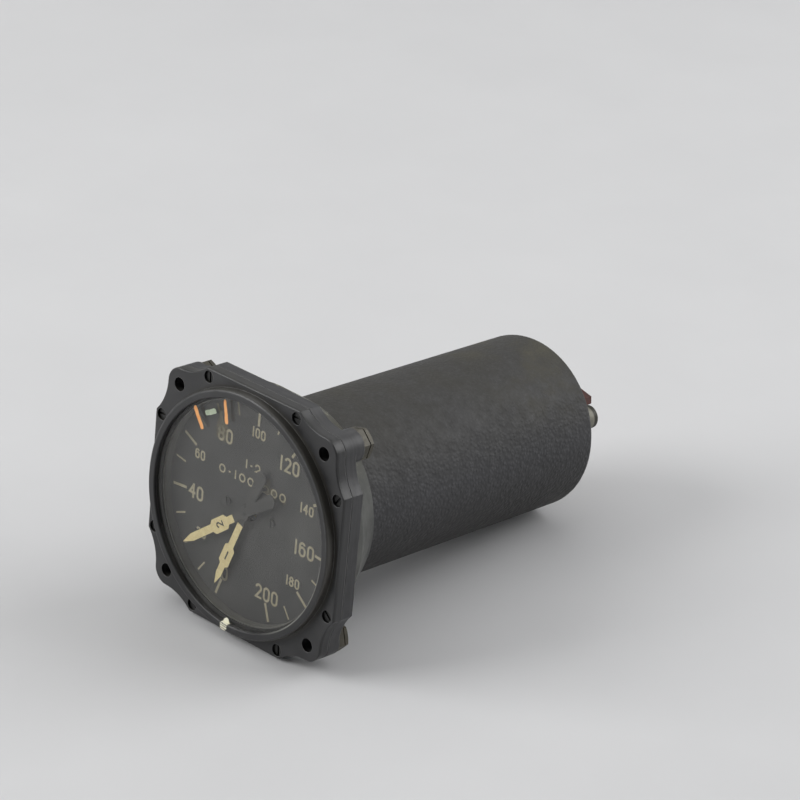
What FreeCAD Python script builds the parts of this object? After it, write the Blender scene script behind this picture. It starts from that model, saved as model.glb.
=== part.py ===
import FreeCAD, Part
import math
import os

# Aircraft oil pressure indicator with two concentric pointers.
# Millimetres. The origin is the centre of the panel mounting plane, the dial faces -Y,
# +Y runs back along the case and +Z is up.

# Panel mounting pattern and flange outline
HOLE_SPACING = 62.87
EAR_HOLE_RADIUS = 2.2
EAR_WALL = 3.0
SCALLOP_RADIUS = 17.0
OUTLINE_CORNER_RADIUS = 0.9
FRONT_EDGE_RADIUS = 0.4
FLAT_PAST_SHOULDER = 1.8

# Bezel plate and raised ring
BEZEL_PLATE_THICKNESS = 3.7
RING_PAST_SHOULDER = 0.1
RING_WALL = 2.2
RING_LIP_OVERLAP = 0.4
RING_LIP_THICKNESS = 1.2
RING_INNER_ROUND = 0.35
RING_OUTER_ROUND = 0.7

# Gasket between bezel and casting
GASKET_THICKNESS = 0.3
GASKET_INSET = 0.1

# Window, rings and dial stacked inside the bezel
STACK_CLEARANCE = 0.1
GLASS_THICKNESS = 1.35
GLASS_NOSE_GAP = 0.75
GLASS_GASKET_THICKNESS = 0.6
GLASS_GASKET_WIDTH = 1.2
SPACER_WIDTH = 1.6
DIAL_THICKNESS = 1.0
DIAL_HUB_CLEARANCE = 0.6

# Dial screws
DIAL_SCREW_OFFSET = 9.65
DIAL_SCREW_HEAD_RADIUS = 1.3
DIAL_SCREW_HEAD_HEIGHT = 0.6
DIAL_SCREW_SHANK_RADIUS = 0.8
DIAL_SCREW_DEPTH = 2.6
DIAL_SCREW_SLOT_WIDTH = 0.4
DIAL_SCREW_SLOT_DEPTH = 0.3
DIAL_SCREW_TURN = 80.0
DIAL_POST_WALL = 1.6

# Bezel screws
SCREW_FROM_EAR = 12.435
SCREW_EDGE_DISTANCE = 2.7
SCREW_HEAD_RADIUS = 1.8
SCREW_HEAD_HEIGHT = 1.1
SCREW_HEAD_RECESS = 0.75
SCREW_HEAD_CLEARANCE = 0.15
SCREW_SLOT_WIDTH = 0.7
SCREW_SLOT_DEPTH = 0.6
SCREW_SHANK_RADIUS = 1.1
SCREW_HOLE_FLOOR = 0.5
SCREW_HOLE_SPARE = 0.35
SCREW_SLOT_ANGLES = (178.0, 128.0, 42.0, 84.0, 35.0, 100.0, 176.0, 85.0)

# Flange casting
CASTING_FLANGE_THICKNESS = 4.2
SHORT_BOSS_HEIGHT = 0.6
LONG_BOSS_HEIGHT = 3.6
SHOULDER_LENGTH = 3.8
CONE_LENGTH = 12.0
COLLAR_WALL = 3.31
CASTING_BORE_EXTRA = 1.5
CAN_SEAT_LENGTH = 5.0
CAN_SEAT_LEDGE = 1.2
CAN_SEAT_LEDGE_THICKNESS = 1.0

# Mounting nuts with a locking saw cut
NUT_CORNER_RADIUS = 5.25
NUT_SHOULDER_GAP = 0.006
NUT_HEIGHT = 4.2
NUT_BORE_STEP = 0.3
NUT_SLIT_FROM_BACK = 1.75
NUT_SLIT_WIDTH = 0.4
NUT_SLIT_WEB = 0.3
NUT_EDGE_BEVEL = 0.35
NUT_TURNS = (15.0, -14.0, 0.0, 30.0)

# Can
CAN_RADIUS = 28.69
CAN_WALL = 1.0
CAN_REAR_WALL = 1.5
CAN_REAR_ROUND = 2.7
CAN_REAR_SPACE = 22.3

# Mechanism plates and tie rods
FRONT_PLATE_INSET = 2.7
FRONT_PLATE_CLEARANCE = 0.1
FRONT_PLATE_LEDGE = 1.4
FRONT_PLATE_DIAL_GAP = 1.0
FRONT_PLATE_THICKNESS = 2.0
PLATE_HOLE_CLEARANCE = 1.0
REAR_PLATE_CAN_GAP = 2.19
REAR_PLATE_THICKNESS = 2.0
ROD_EDGE_DISTANCE = 5.5
ROD_RADIUS = 1.6
ROD_ANGLES = (17.4, 162.6, 270.0)
ROD_THREAD_DEPTH = 1.5
ROD_TAIL = 1.0
CASE_NUT_WALL = 2.3
CASE_NUT_HEIGHT = 7.9
CASE_NUT_BEVEL = 0.6

# Synchro motors
MOTOR_ROD_GAP = 0.6
MOTOR_WALL = 1.0
MOTOR_FRONT_WALL = 2.5
MOTOR_SHELL_LENGTH = 46.0
MOTOR_BELL_THICKNESS = 3.0
STATOR_START = 12.0
STATOR_END_SPACE = 12.0
STATOR_WALL = 6.2
SLOT_COUNT = 12
SLOT_DEPTH = 2.8
SLOT_RADIUS = 1.0
COIL_BORE_STEP = 1.0
COIL_SHELL_GAP = 1.4
COIL_LENGTH = 4.0
ROTOR_GAP = 0.6
ROTOR_INSET = 1.0
ROTOR_WAIST = 7.0
ROTOR_POLE_DEPTH = 4.0
BUSHING_WALL = 2.5
SLEEVE_END_GAP = 0.5
SLIP_RING_WALL = 2.1
SLIP_RING_GROOVE = 0.7
SLIP_RING_LENGTH = 5.0
SLIP_RING_RIM = 1.4
SLIP_RING_END_GAP = 2.5
BRUSH_GAP = 0.4
BRUSH_THICKNESS = 0.6
BRUSH_BLOCK_WIDTH = 6.0
BRUSH_BLOCK_HEIGHT = 6.0

# Shafts
SHAFT_RADIUS = 0.8
RUNNING_CLEARANCE = 0.05
SLEEVE_WALL = 0.65
SHAFT_NOSE_LENGTH = 0.15

# Pointers
POINTER_THICKNESS = 0.35
POINTER_GAP = 0.4
POINTER_TIP_WIDTH = 0.5
LEFT_POINTER_DIAL_GAP = 1.55
LEFT_HUB_WALL = 0.8
LEFT_HUB_DIAL_GAP = 0.55
LEFT_SEAT_WALL = 0.9
RIGHT_SEAT_WALL = 1.3
LEFT_REST_ANGLE = 21.4
LEFT_ARM_WIDTH = 2.5
LEFT_TIP_RIM_GAP = 5.4
LEFT_TIP_LENGTH = 4.0
LEFT_BOX_TIP_GAP = 4.9
LEFT_BOX_LENGTH = 6.2
LEFT_BOX_WIDTH = 4.5
LEFT_BOX_TAPER = 1.0
LEFT_TAIL_LENGTH = 14.6
LEFT_TAIL_RADIUS = 2.1
RIGHT_REST_ANGLE = 52.8
RIGHT_ARM_WIDTH = 2.6
RIGHT_TIP_RIM_GAP = 3.7
RIGHT_TIP_LENGTH = 4.9
RIGHT_BOX_TIP_GAP = 11.7
RIGHT_BOX_LENGTH = 5.9
RIGHT_BOX_WIDTH = 4.8
RIGHT_BOX_TAPER = 1.2
RIGHT_TAIL_LENGTH = 13.2
RIGHT_TAIL_RADIUS = 2.1

# Terminal strips on the back of the can
STRIP_THICKNESS = 4.0
STRIP_NUT_GAP = 2.5
STRIP_END_RISE = 2.4
STRIP_TOP_RISE = 5.4
STRIP_FOOT_INSET = 6.6
STRIP_END_INSET = 6.9
STRIP_TOP_X = 10.0
STRIP_BOSS_RADIUS = 2.6
LOWER_STRIP_HALF = 13.0
LOWER_STRIP_HEIGHT = 8.0
LOWER_STRIP_NUT_GAP = 2.6
TERMINAL_X = 9.0
TERMINAL_RISE = 2.7
LOWER_TERMINAL_X = 7.0
TERMINAL_SHANK_RADIUS = 1.2
TERMINAL_HEAD_RADIUS = 2.6
TERMINAL_HEAD_HEIGHT = 1.8
TERMINAL_SLOT_WIDTH = 0.7
TERMINAL_SLOT_DEPTH = 0.7
TERMINAL_TAIL = 4.0

# Flange and ring sizes that follow from the hole pattern and the nuts
HOLE_OFFSET = 0.5 * HOLE_SPACING
HOLE_DIAGONAL = HOLE_OFFSET * math.sqrt(2.0)
EAR_RADIUS = EAR_HOLE_RADIUS + EAR_WALL
NUT_BORE_RADIUS = EAR_HOLE_RADIUS - NUT_BORE_STEP
NUT_HALF_FLATS = 0.5 * NUT_CORNER_RADIUS * math.sqrt(3.0)
SHOULDER_RADIUS = HOLE_DIAGONAL - NUT_CORNER_RADIUS - NUT_SHOULDER_GAP
FLAT_HALF = SHOULDER_RADIUS + FLAT_PAST_SHOULDER
SCREW_NEAR = HOLE_OFFSET - SCREW_FROM_EAR
SCREW_FAR = FLAT_HALF - SCREW_EDGE_DISTANCE
COUNTERBORE_RADIUS = SCREW_HEAD_RADIUS + SCREW_HEAD_CLEARANCE
COUNTERBORE_DEPTH = SCREW_HEAD_RECESS + SCREW_HEAD_HEIGHT
RING_OUTER_RADIUS = SHOULDER_RADIUS + RING_PAST_SHOULDER
STACK_RADIUS = RING_OUTER_RADIUS - RING_WALL
STACK_SEAT_RADIUS = STACK_RADIUS + STACK_CLEARANCE
RING_LIP_RADIUS = STACK_RADIUS - RING_LIP_OVERLAP
GLASS_GASKET_BORE_RADIUS = STACK_RADIUS - GLASS_GASKET_WIDTH
SPACER_BORE_RADIUS = STACK_RADIUS - SPACER_WIDTH

# Shaft and hub radii that follow from the inner shaft
SLEEVE_BORE_RADIUS = SHAFT_RADIUS + RUNNING_CLEARANCE
SLEEVE_RADIUS = SLEEVE_BORE_RADIUS + SLEEVE_WALL
LEFT_HUB_RADIUS = SLEEVE_RADIUS + LEFT_HUB_WALL
LEFT_SEAT_RADIUS = SLEEVE_RADIUS + LEFT_SEAT_WALL
RIGHT_SEAT_RADIUS = SHAFT_RADIUS + RIGHT_SEAT_WALL
DIAL_CENTRE_HOLE_RADIUS = LEFT_HUB_RADIUS + DIAL_HUB_CLEARANCE
DIAL_POST_RADIUS = DIAL_SCREW_SHANK_RADIUS + DIAL_POST_WALL
BUSHING_RADIUS = SLEEVE_RADIUS + BUSHING_WALL
SLIP_RING_RADIUS = SLEEVE_RADIUS + SLIP_RING_WALL
PLATE_CENTRE_HOLE_RADIUS = BUSHING_RADIUS + PLATE_HOLE_CLEARANCE

# Depths that follow from the casting's front face, forwards to the ring's crest
GASKET_FRONT = BEZEL_PLATE_THICKNESS
CASTING_FRONT = GASKET_FRONT + GASKET_THICKNESS
DIAL_FRONT = CASTING_FRONT - DIAL_THICKNESS
LEFT_POINTER_FRONT = DIAL_FRONT - LEFT_POINTER_DIAL_GAP - POINTER_THICKNESS
LEFT_HUB_FRONT = LEFT_POINTER_FRONT + POINTER_THICKNESS
LEFT_HUB_BACK = DIAL_FRONT - LEFT_HUB_DIAL_GAP
RIGHT_POINTER_FRONT = LEFT_POINTER_FRONT - POINTER_GAP - POINTER_THICKNESS
SHAFT_NOSE = RIGHT_POINTER_FRONT - SHAFT_NOSE_LENGTH
GLASS_BACK = SHAFT_NOSE - GLASS_NOSE_GAP
GLASS_FRONT = GLASS_BACK - GLASS_THICKNESS
GLASS_GASKET_BACK = GLASS_BACK + GLASS_GASKET_THICKNESS
RING_CREST = GLASS_FRONT - RING_LIP_THICKNESS

# Depths that follow from the casting's front face, back to the collar
FLANGE_BACK = CASTING_FRONT + CASTING_FLANGE_THICKNESS
SCREW_HOLE_END = FLANGE_BACK - SCREW_HOLE_FLOOR
SCREW_END = SCREW_HOLE_END - SCREW_HOLE_SPARE
SHOULDER_END = FLANGE_BACK + SHOULDER_LENGTH
CASTING_BORE_END = SHOULDER_END + CASTING_BORE_EXTRA
COLLAR_END = SHOULDER_END + CONE_LENGTH
CAN_SEAT_START = COLLAR_END - CAN_SEAT_LENGTH
CAN_LEDGE_START = CAN_SEAT_START - CAN_SEAT_LEDGE_THICKNESS

# Radii that follow from the can and the stack
COLLAR_RADIUS = CAN_RADIUS + COLLAR_WALL
CAN_LEDGE_RADIUS = CAN_RADIUS - CAN_SEAT_LEDGE
FRONT_PLATE_RADIUS = STACK_RADIUS - FRONT_PLATE_INSET
CASTING_BORE_RADIUS = FRONT_PLATE_RADIUS - FRONT_PLATE_LEDGE
REAR_PLATE_RADIUS = CAN_RADIUS - CAN_WALL - REAR_PLATE_CAN_GAP
ROD_CIRCLE_RADIUS = REAR_PLATE_RADIUS - ROD_EDGE_DISTANCE
CASE_NUT_RADIUS = ROD_RADIUS + CASE_NUT_WALL
MOTOR_RADIUS = ROD_CIRCLE_RADIUS - ROD_RADIUS - MOTOR_ROD_GAP
MOTOR_INNER_RADIUS = MOTOR_RADIUS - MOTOR_WALL
STATOR_BORE_RADIUS = MOTOR_INNER_RADIUS - STATOR_WALL
SLOT_CIRCLE_RADIUS = STATOR_BORE_RADIUS + SLOT_DEPTH
COIL_INNER_RADIUS = STATOR_BORE_RADIUS + COIL_BORE_STEP
COIL_OUTER_RADIUS = MOTOR_INNER_RADIUS - COIL_SHELL_GAP
BRUSH_BLOCK_MIDDLE = 0.5 * (SLIP_RING_RADIUS + MOTOR_INNER_RADIUS)
BRUSH_FOOT = BRUSH_BLOCK_MIDDLE - 0.5 * BRUSH_BLOCK_HEIGHT
BRUSH_BLOCK_TOP = BRUSH_BLOCK_MIDDLE + 0.5 * BRUSH_BLOCK_HEIGHT

# Depths that follow along the mechanism to the back of the can
FRONT_PLATE_FRONT = CASTING_FRONT + FRONT_PLATE_DIAL_GAP
FRONT_PLATE_BACK = FRONT_PLATE_FRONT + FRONT_PLATE_THICKNESS
MOTOR_LENGTH = MOTOR_SHELL_LENGTH + MOTOR_BELL_THICKNESS
FRONT_MOTOR_START = FRONT_PLATE_BACK
REAR_MOTOR_START = FRONT_MOTOR_START + MOTOR_LENGTH
REAR_PLATE_FRONT = REAR_MOTOR_START + MOTOR_LENGTH
REAR_PLATE_BACK = REAR_PLATE_FRONT + REAR_PLATE_THICKNESS
CAN_REAR = REAR_PLATE_BACK + CAN_REAR_SPACE
STATOR_LENGTH = MOTOR_SHELL_LENGTH - STATOR_START - STATOR_END_SPACE
SLIP_RING_START = MOTOR_SHELL_LENGTH - SLIP_RING_END_GAP - SLIP_RING_LENGTH

# Pointer lengths that follow from the dial's visible edge
LEFT_TIP_RADIUS = SPACER_BORE_RADIUS - LEFT_TIP_RIM_GAP
LEFT_TIP_START = LEFT_TIP_RADIUS - LEFT_TIP_LENGTH
LEFT_BOX_END = LEFT_TIP_START - LEFT_BOX_TIP_GAP
LEFT_BOX_START = LEFT_BOX_END - LEFT_BOX_LENGTH
RIGHT_TIP_RADIUS = SPACER_BORE_RADIUS - RIGHT_TIP_RIM_GAP
RIGHT_TIP_START = RIGHT_TIP_RADIUS - RIGHT_TIP_LENGTH
RIGHT_BOX_END = RIGHT_TIP_START - RIGHT_BOX_TIP_GAP
RIGHT_BOX_START = RIGHT_BOX_END - RIGHT_BOX_LENGTH

# Terminal strip places that follow from the case nuts beside them
UPPER_NUT_HEIGHT = ROD_CIRCLE_RADIUS * math.sin(math.radians(ROD_ANGLES[0]))
STRIP_INNER_HEIGHT = UPPER_NUT_HEIGHT + CASE_NUT_RADIUS + STRIP_NUT_GAP
STRIP_END_HEIGHT = STRIP_INNER_HEIGHT + STRIP_END_RISE
STRIP_TOP_HEIGHT = STRIP_INNER_HEIGHT + STRIP_TOP_RISE
STRIP_FOOT_X = CAN_RADIUS - STRIP_FOOT_INSET
STRIP_END_X = CAN_RADIUS - STRIP_END_INSET
TERMINAL_HEIGHT = STRIP_INNER_HEIGHT + TERMINAL_RISE
LOWER_STRIP_BOTTOM = -(ROD_CIRCLE_RADIUS - CASE_NUT_RADIUS - LOWER_STRIP_NUT_GAP)
LOWER_STRIP_TOP = LOWER_STRIP_BOTTOM + LOWER_STRIP_HEIGHT
LOWER_TERMINAL_HEIGHT = LOWER_STRIP_BOTTOM + 0.5 * LOWER_STRIP_HEIGHT

Y_AXIS = FreeCAD.Vector(0, 1, 0)
ORIGIN = FreeCAD.Vector(0, 0, 0)


def point(x, y, z):
    return FreeCAD.Vector(x, y, z)


def cylinder(radius, front, back, x=0.0, z=0.0):
    return Part.makeCylinder(radius, back - front, point(x, front, z), Y_AXIS)


def ring(outer, inner, front, back, x=0.0, z=0.0):
    body = cylinder(outer, front, back, x, z)
    return body.cut(cylinder(inner, front - 1.0, back + 1.0, x, z))


def box(x0, x1, front, back, z0, z1):
    return Part.makeBox(x1 - x0, back - front, z1 - z0, point(x0, front, z0))


def turned(profile):
    """Revolve a closed list of (radius, depth) pairs about the instrument axis."""
    corners = [point(radius, depth, 0.0) for radius, depth in profile]
    corners.append(corners[0])
    face = Part.Face(Part.makePolygon(corners))
    return face.revolve(ORIGIN, Y_AXIS, 360.0)


def flat_piece(outline, front, back):
    """Extrude a closed list of (x, z) pairs along the instrument axis."""
    corners = [point(x, front, z) for x, z in outline]
    corners.append(corners[0])
    face = Part.Face(Part.makePolygon(corners))
    return face.extrude(point(0.0, back - front, 0.0))


def turn_about_axis(shape, degrees, x=0.0, z=0.0):
    copy = shape.copy()
    copy.rotate(point(x, 0.0, z), Y_AXIS, degrees)
    return copy


def save(name, shape):
    clean = shape.removeSplitter()
    if clean.ShapeType == "Compound" and len(clean.Solids) == 1:
        clean = clean.Solids[0]
    clean.exportStep("parts/" + name + ".step")


def ear_centres():
    return (
        (HOLE_OFFSET, HOLE_OFFSET),
        (HOLE_OFFSET, -HOLE_OFFSET),
        (-HOLE_OFFSET, -HOLE_OFFSET),
        (-HOLE_OFFSET, HOLE_OFFSET),
    )


def bezel_screw_centres():
    return (
        (SCREW_NEAR, SCREW_FAR),
        (SCREW_FAR, SCREW_NEAR),
        (SCREW_FAR, -SCREW_NEAR),
        (SCREW_NEAR, -SCREW_FAR),
        (-SCREW_NEAR, -SCREW_FAR),
        (-SCREW_FAR, -SCREW_NEAR),
        (-SCREW_FAR, SCREW_NEAR),
        (-SCREW_NEAR, SCREW_FAR),
    )


def flange_wire(front, inset):
    """Outline of four flats, four ears and the eight hollows between them."""
    flat = FLAT_HALF - inset
    ear = EAR_RADIUS - inset
    hollow = SCALLOP_RADIUS + inset
    rise = flat - HOLE_OFFSET - ear
    reach = HOLE_OFFSET - math.sqrt(hollow ** 2 - (hollow - rise) ** 2)
    half_turn = 0.5 * math.acos((hollow - rise) / hollow)
    bow_x = HOLE_OFFSET - hollow * math.sin(half_turn)
    bow_z = HOLE_OFFSET + ear + hollow * (1.0 - math.cos(half_turn))
    ear_out = HOLE_OFFSET + ear
    ear_bow = HOLE_OFFSET + ear * math.sqrt(0.5)
    edges = []
    for quarter in range(4):
        turn = math.radians(90.0 * quarter)

        def place(x, z):
            return point(
                x * math.cos(turn) + z * math.sin(turn),
                front,
                -x * math.sin(turn) + z * math.cos(turn),
            )

        edges.append(Part.LineSegment(place(-reach, flat), place(reach, flat)).toShape())
        first_hollow = Part.Arc(
            place(reach, flat), place(bow_x, bow_z), place(HOLE_OFFSET, ear_out)
        )
        ear_round = Part.Arc(
            place(HOLE_OFFSET, ear_out), place(ear_bow, ear_bow), place(ear_out, HOLE_OFFSET)
        )
        second_hollow = Part.Arc(
            place(ear_out, HOLE_OFFSET), place(bow_z, bow_x), place(flat, reach)
        )
        edges.append(first_hollow.toShape())
        edges.append(ear_round.toShape())
        edges.append(second_hollow.toShape())
    return Part.Wire(edges)


def flange_slab(front, back, inset=0.0):
    slab = Part.Face(flange_wire(front, inset)).extrude(point(0.0, back - front, 0.0))
    corners = []
    for edge in slab.Edges:
        middle = edge.CenterOfMass
        along = abs(edge.tangentAt(edge.FirstParameter).y) > 0.99
        side = max(abs(middle.x), abs(middle.z))
        if along and side > FLAT_HALF - inset - 0.01:
            corners.append(edge)
    return slab.makeFillet(OUTLINE_CORNER_RADIUS, corners)


def round_front_edge(slab, front):
    rim = []
    for edge in slab.Edges:
        depths = [vertex.Point.y for vertex in edge.Vertexes]
        if max(abs(depth - front) for depth in depths) < 0.001:
            rim.append(edge)
    return slab.makeFillet(FRONT_EDGE_RADIUS, rim)


def make_bezel_ring():
    """The raised ring: a lip over the glass, a flat crest and both of the crest's edges rounded."""
    ring = turned((
        (RING_LIP_RADIUS, GLASS_FRONT),
        (RING_LIP_RADIUS, RING_CREST),
        (RING_OUTER_RADIUS, RING_CREST),
        (RING_OUTER_RADIUS, 0.5 * BEZEL_PLATE_THICKNESS),
        (STACK_SEAT_RADIUS, 0.5 * BEZEL_PLATE_THICKNESS),
        (STACK_SEAT_RADIUS, GLASS_FRONT),
    ))
    for radius, rounding in ((RING_LIP_RADIUS, RING_INNER_ROUND), (RING_OUTER_RADIUS, RING_OUTER_ROUND)):
        rim = [
            edge for edge in ring.Edges
            if hasattr(edge.Curve, "Radius")
            and abs(edge.Curve.Radius - radius) < 0.001
            and abs(edge.BoundBox.YMax - RING_CREST) < 0.001
            and abs(edge.BoundBox.YMin - RING_CREST) < 0.001
        ]
        ring = ring.makeFillet(rounding, rim)
    return ring


def make_bezel():
    slab = round_front_edge(flange_slab(0.0, BEZEL_PLATE_THICKNESS), 0.0)
    slab = slab.cut(cylinder(STACK_SEAT_RADIUS, -1.0, BEZEL_PLATE_THICKNESS + 1.0))
    bezel = slab.fuse(make_bezel_ring())
    for x, z in ear_centres():
        bezel = bezel.cut(cylinder(EAR_HOLE_RADIUS, -1.0, BEZEL_PLATE_THICKNESS + 1.0, x, z))
    for x, z in bezel_screw_centres():
        bezel = bezel.cut(cylinder(COUNTERBORE_RADIUS, -1.0, COUNTERBORE_DEPTH, x, z))
        bezel = bezel.cut(cylinder(SCREW_SHANK_RADIUS, 0.0, BEZEL_PLATE_THICKNESS + 1.0, x, z))
    return bezel


def make_bezel_gasket():
    gasket = flange_slab(GASKET_FRONT, CASTING_FRONT, GASKET_INSET)
    gasket = gasket.cut(cylinder(STACK_SEAT_RADIUS, GASKET_FRONT - 1.0, CASTING_FRONT + 1.0))
    for x, z in ear_centres():
        hole = cylinder(EAR_HOLE_RADIUS, GASKET_FRONT - 1.0, CASTING_FRONT + 1.0, x, z)
        gasket = gasket.cut(hole)
    for x, z in bezel_screw_centres():
        hole = cylinder(SCREW_SHANK_RADIUS, GASKET_FRONT - 1.0, CASTING_FRONT + 1.0, x, z)
        gasket = gasket.cut(hole)
    return gasket


def make_bezel_screw(index):
    x, z = bezel_screw_centres()[index]
    head = cylinder(SCREW_HEAD_RADIUS, SCREW_HEAD_RECESS, COUNTERBORE_DEPTH, x, z)
    shank = cylinder(SCREW_SHANK_RADIUS, COUNTERBORE_DEPTH, SCREW_END, x, z)
    slot = box(
        x - SCREW_HEAD_RADIUS - 1.0,
        x + SCREW_HEAD_RADIUS + 1.0,
        SCREW_HEAD_RECESS - 1.0,
        SCREW_HEAD_RECESS + SCREW_SLOT_DEPTH,
        z - 0.5 * SCREW_SLOT_WIDTH,
        z + 0.5 * SCREW_SLOT_WIDTH,
    )
    slot = turn_about_axis(slot, SCREW_SLOT_ANGLES[index], x, z)
    return head.fuse(shank).cut(slot)


def make_cover_glass():
    return cylinder(STACK_RADIUS, GLASS_FRONT, GLASS_BACK)


def make_glass_gasket():
    return ring(STACK_RADIUS, GLASS_GASKET_BORE_RADIUS, GLASS_BACK, GLASS_GASKET_BACK)


def make_spacer_ring():
    return ring(STACK_RADIUS, SPACER_BORE_RADIUS, GLASS_GASKET_BACK, DIAL_FRONT)


def make_dial_plate():
    dial = ring(STACK_RADIUS, DIAL_CENTRE_HOLE_RADIUS, DIAL_FRONT, CASTING_FRONT)
    for side in (-1.0, 1.0):
        x = side * DIAL_SCREW_OFFSET
        hole = cylinder(DIAL_SCREW_SHANK_RADIUS, DIAL_FRONT - 1.0, CASTING_FRONT + 1.0, x)
        dial = dial.cut(hole)
    return dial


def make_dial_screw(side):
    x = side * DIAL_SCREW_OFFSET
    top = DIAL_FRONT - DIAL_SCREW_HEAD_HEIGHT
    head = cylinder(DIAL_SCREW_HEAD_RADIUS, top, DIAL_FRONT, x)
    shank = cylinder(DIAL_SCREW_SHANK_RADIUS, DIAL_FRONT, DIAL_FRONT + DIAL_SCREW_DEPTH, x)
    slot = box(
        x - DIAL_SCREW_HEAD_RADIUS - 1.0,
        x + DIAL_SCREW_HEAD_RADIUS + 1.0,
        top - 1.0,
        top + DIAL_SCREW_SLOT_DEPTH,
        -0.5 * DIAL_SCREW_SLOT_WIDTH,
        0.5 * DIAL_SCREW_SLOT_WIDTH,
    )
    slot = turn_about_axis(slot, DIAL_SCREW_TURN, x, 0.0)
    return head.fuse(shank).cut(slot)


def casting_cavity():
    plate_seat = FRONT_PLATE_RADIUS + FRONT_PLATE_CLEARANCE
    return turned(
        (
            (0.0, CASTING_FRONT - 1.0),
            (plate_seat, CASTING_FRONT - 1.0),
            (plate_seat, FRONT_PLATE_BACK),
            (CASTING_BORE_RADIUS, FRONT_PLATE_BACK),
            (CASTING_BORE_RADIUS, CASTING_BORE_END),
            (CAN_LEDGE_RADIUS, CAN_LEDGE_START),
            (CAN_LEDGE_RADIUS, CAN_SEAT_START),
            (CAN_RADIUS, CAN_SEAT_START),
            (CAN_RADIUS, COLLAR_END + 1.0),
            (0.0, COLLAR_END + 1.0),
        )
    )


def boss_end(index):
    height = LONG_BOSS_HEIGHT if index == 0 else SHORT_BOSS_HEIGHT
    return FLANGE_BACK + height


def make_flange_casting():
    casting = flange_slab(CASTING_FRONT, FLANGE_BACK)
    shoulder = turned(
        (
            (0.0, CASTING_FRONT + 1.0),
            (SHOULDER_RADIUS, CASTING_FRONT + 1.0),
            (SHOULDER_RADIUS, SHOULDER_END),
            (COLLAR_RADIUS, COLLAR_END),
            (0.0, COLLAR_END),
        )
    )
    casting = casting.fuse(shoulder)
    for index, (x, z) in enumerate(ear_centres()):
        casting = casting.fuse(cylinder(EAR_RADIUS, CASTING_FRONT + 1.0, boss_end(index), x, z))
    casting = casting.cut(casting_cavity())
    for index, (x, z) in enumerate(ear_centres()):
        hole = cylinder(EAR_HOLE_RADIUS, CASTING_FRONT - 1.0, boss_end(index) + 1.0, x, z)
        casting = casting.cut(hole)
    for x, z in bezel_screw_centres():
        hole = cylinder(SCREW_SHANK_RADIUS, CASTING_FRONT - 1.0, SCREW_HOLE_END, x, z)
        casting = casting.cut(hole)
    return casting


def make_mounting_nut(index):
    x, z = ear_centres()[index]
    front = boss_end(index)
    back = front + NUT_HEIGHT
    corner = NUT_CORNER_RADIUS
    outline = []
    for step in range(6):
        angle = math.radians(NUT_TURNS[index] + 60.0 * step)
        outline.append((x + corner * math.cos(angle), z + corner * math.sin(angle)))
    nut = flat_piece(outline, front, back)
    cone = Part.makeCone(
        corner + 0.01, NUT_HALF_FLATS, NUT_EDGE_BEVEL, point(x, back - NUT_EDGE_BEVEL, z), Y_AXIS
    )
    body = cylinder(corner + 0.01, front, back - NUT_EDGE_BEVEL, x, z)
    nut = nut.common(body.fuse(cone))
    slit_front = back - NUT_SLIT_FROM_BACK
    slit = box(
        -2.0 * corner,
        NUT_BORE_RADIUS + NUT_SLIT_WEB,
        slit_front,
        slit_front + NUT_SLIT_WIDTH,
        -2.0 * corner,
        2.0 * corner,
    )
    slit.rotate(ORIGIN, Y_AXIS, 180.0)
    slit.translate(point(x, 0.0, z))
    nut = nut.cut(slit)
    return nut.cut(cylinder(NUT_BORE_RADIUS, front - 1.0, back + 1.0, x, z))


def rod_centres():
    centres = []
    for degrees in ROD_ANGLES:
        angle = math.radians(degrees)
        centres.append((ROD_CIRCLE_RADIUS * math.cos(angle), ROD_CIRCLE_RADIUS * math.sin(angle)))
    return centres


def terminal_centres():
    return (
        (TERMINAL_X, TERMINAL_HEIGHT),
        (-TERMINAL_X, TERMINAL_HEIGHT),
        (-LOWER_TERMINAL_X, LOWER_TERMINAL_HEIGHT),
        (LOWER_TERMINAL_X, LOWER_TERMINAL_HEIGHT),
    )


def make_case_can():
    can = cylinder(CAN_RADIUS, CAN_SEAT_START, CAN_REAR)
    rim = []
    for edge in can.Edges:
        if len(edge.Vertexes) == 1 and abs(edge.Vertexes[0].Point.y - CAN_REAR) < 0.001:
            rim.append(edge)
    can = can.makeFillet(CAN_REAR_ROUND, rim)
    can = can.cut(cylinder(CAN_RADIUS - CAN_WALL, CAN_SEAT_START - 1.0, CAN_REAR - CAN_REAR_WALL))
    for x, z in rod_centres():
        can = can.cut(cylinder(ROD_RADIUS, CAN_REAR - 5.0, CAN_REAR + 1.0, x, z))
    for x, z in terminal_centres():
        can = can.cut(cylinder(STRIP_BOSS_RADIUS, CAN_REAR - 5.0, CAN_REAR + 1.0, x, z))
    return can


def make_front_plate():
    plate = ring(
        FRONT_PLATE_RADIUS, PLATE_CENTRE_HOLE_RADIUS, FRONT_PLATE_FRONT, FRONT_PLATE_BACK
    )
    for side in (-1.0, 1.0):
        x = side * DIAL_SCREW_OFFSET
        plate = plate.fuse(cylinder(DIAL_POST_RADIUS, CASTING_FRONT, FRONT_PLATE_FRONT + 0.5, x))
        hole = cylinder(
            DIAL_SCREW_SHANK_RADIUS, CASTING_FRONT - 1.0, DIAL_FRONT + DIAL_SCREW_DEPTH, x
        )
        plate = plate.cut(hole)
    for x, z in rod_centres():
        start = FRONT_PLATE_BACK - ROD_THREAD_DEPTH
        plate = plate.cut(cylinder(ROD_RADIUS, start, FRONT_PLATE_BACK + 1.0, x, z))
    return plate


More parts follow.
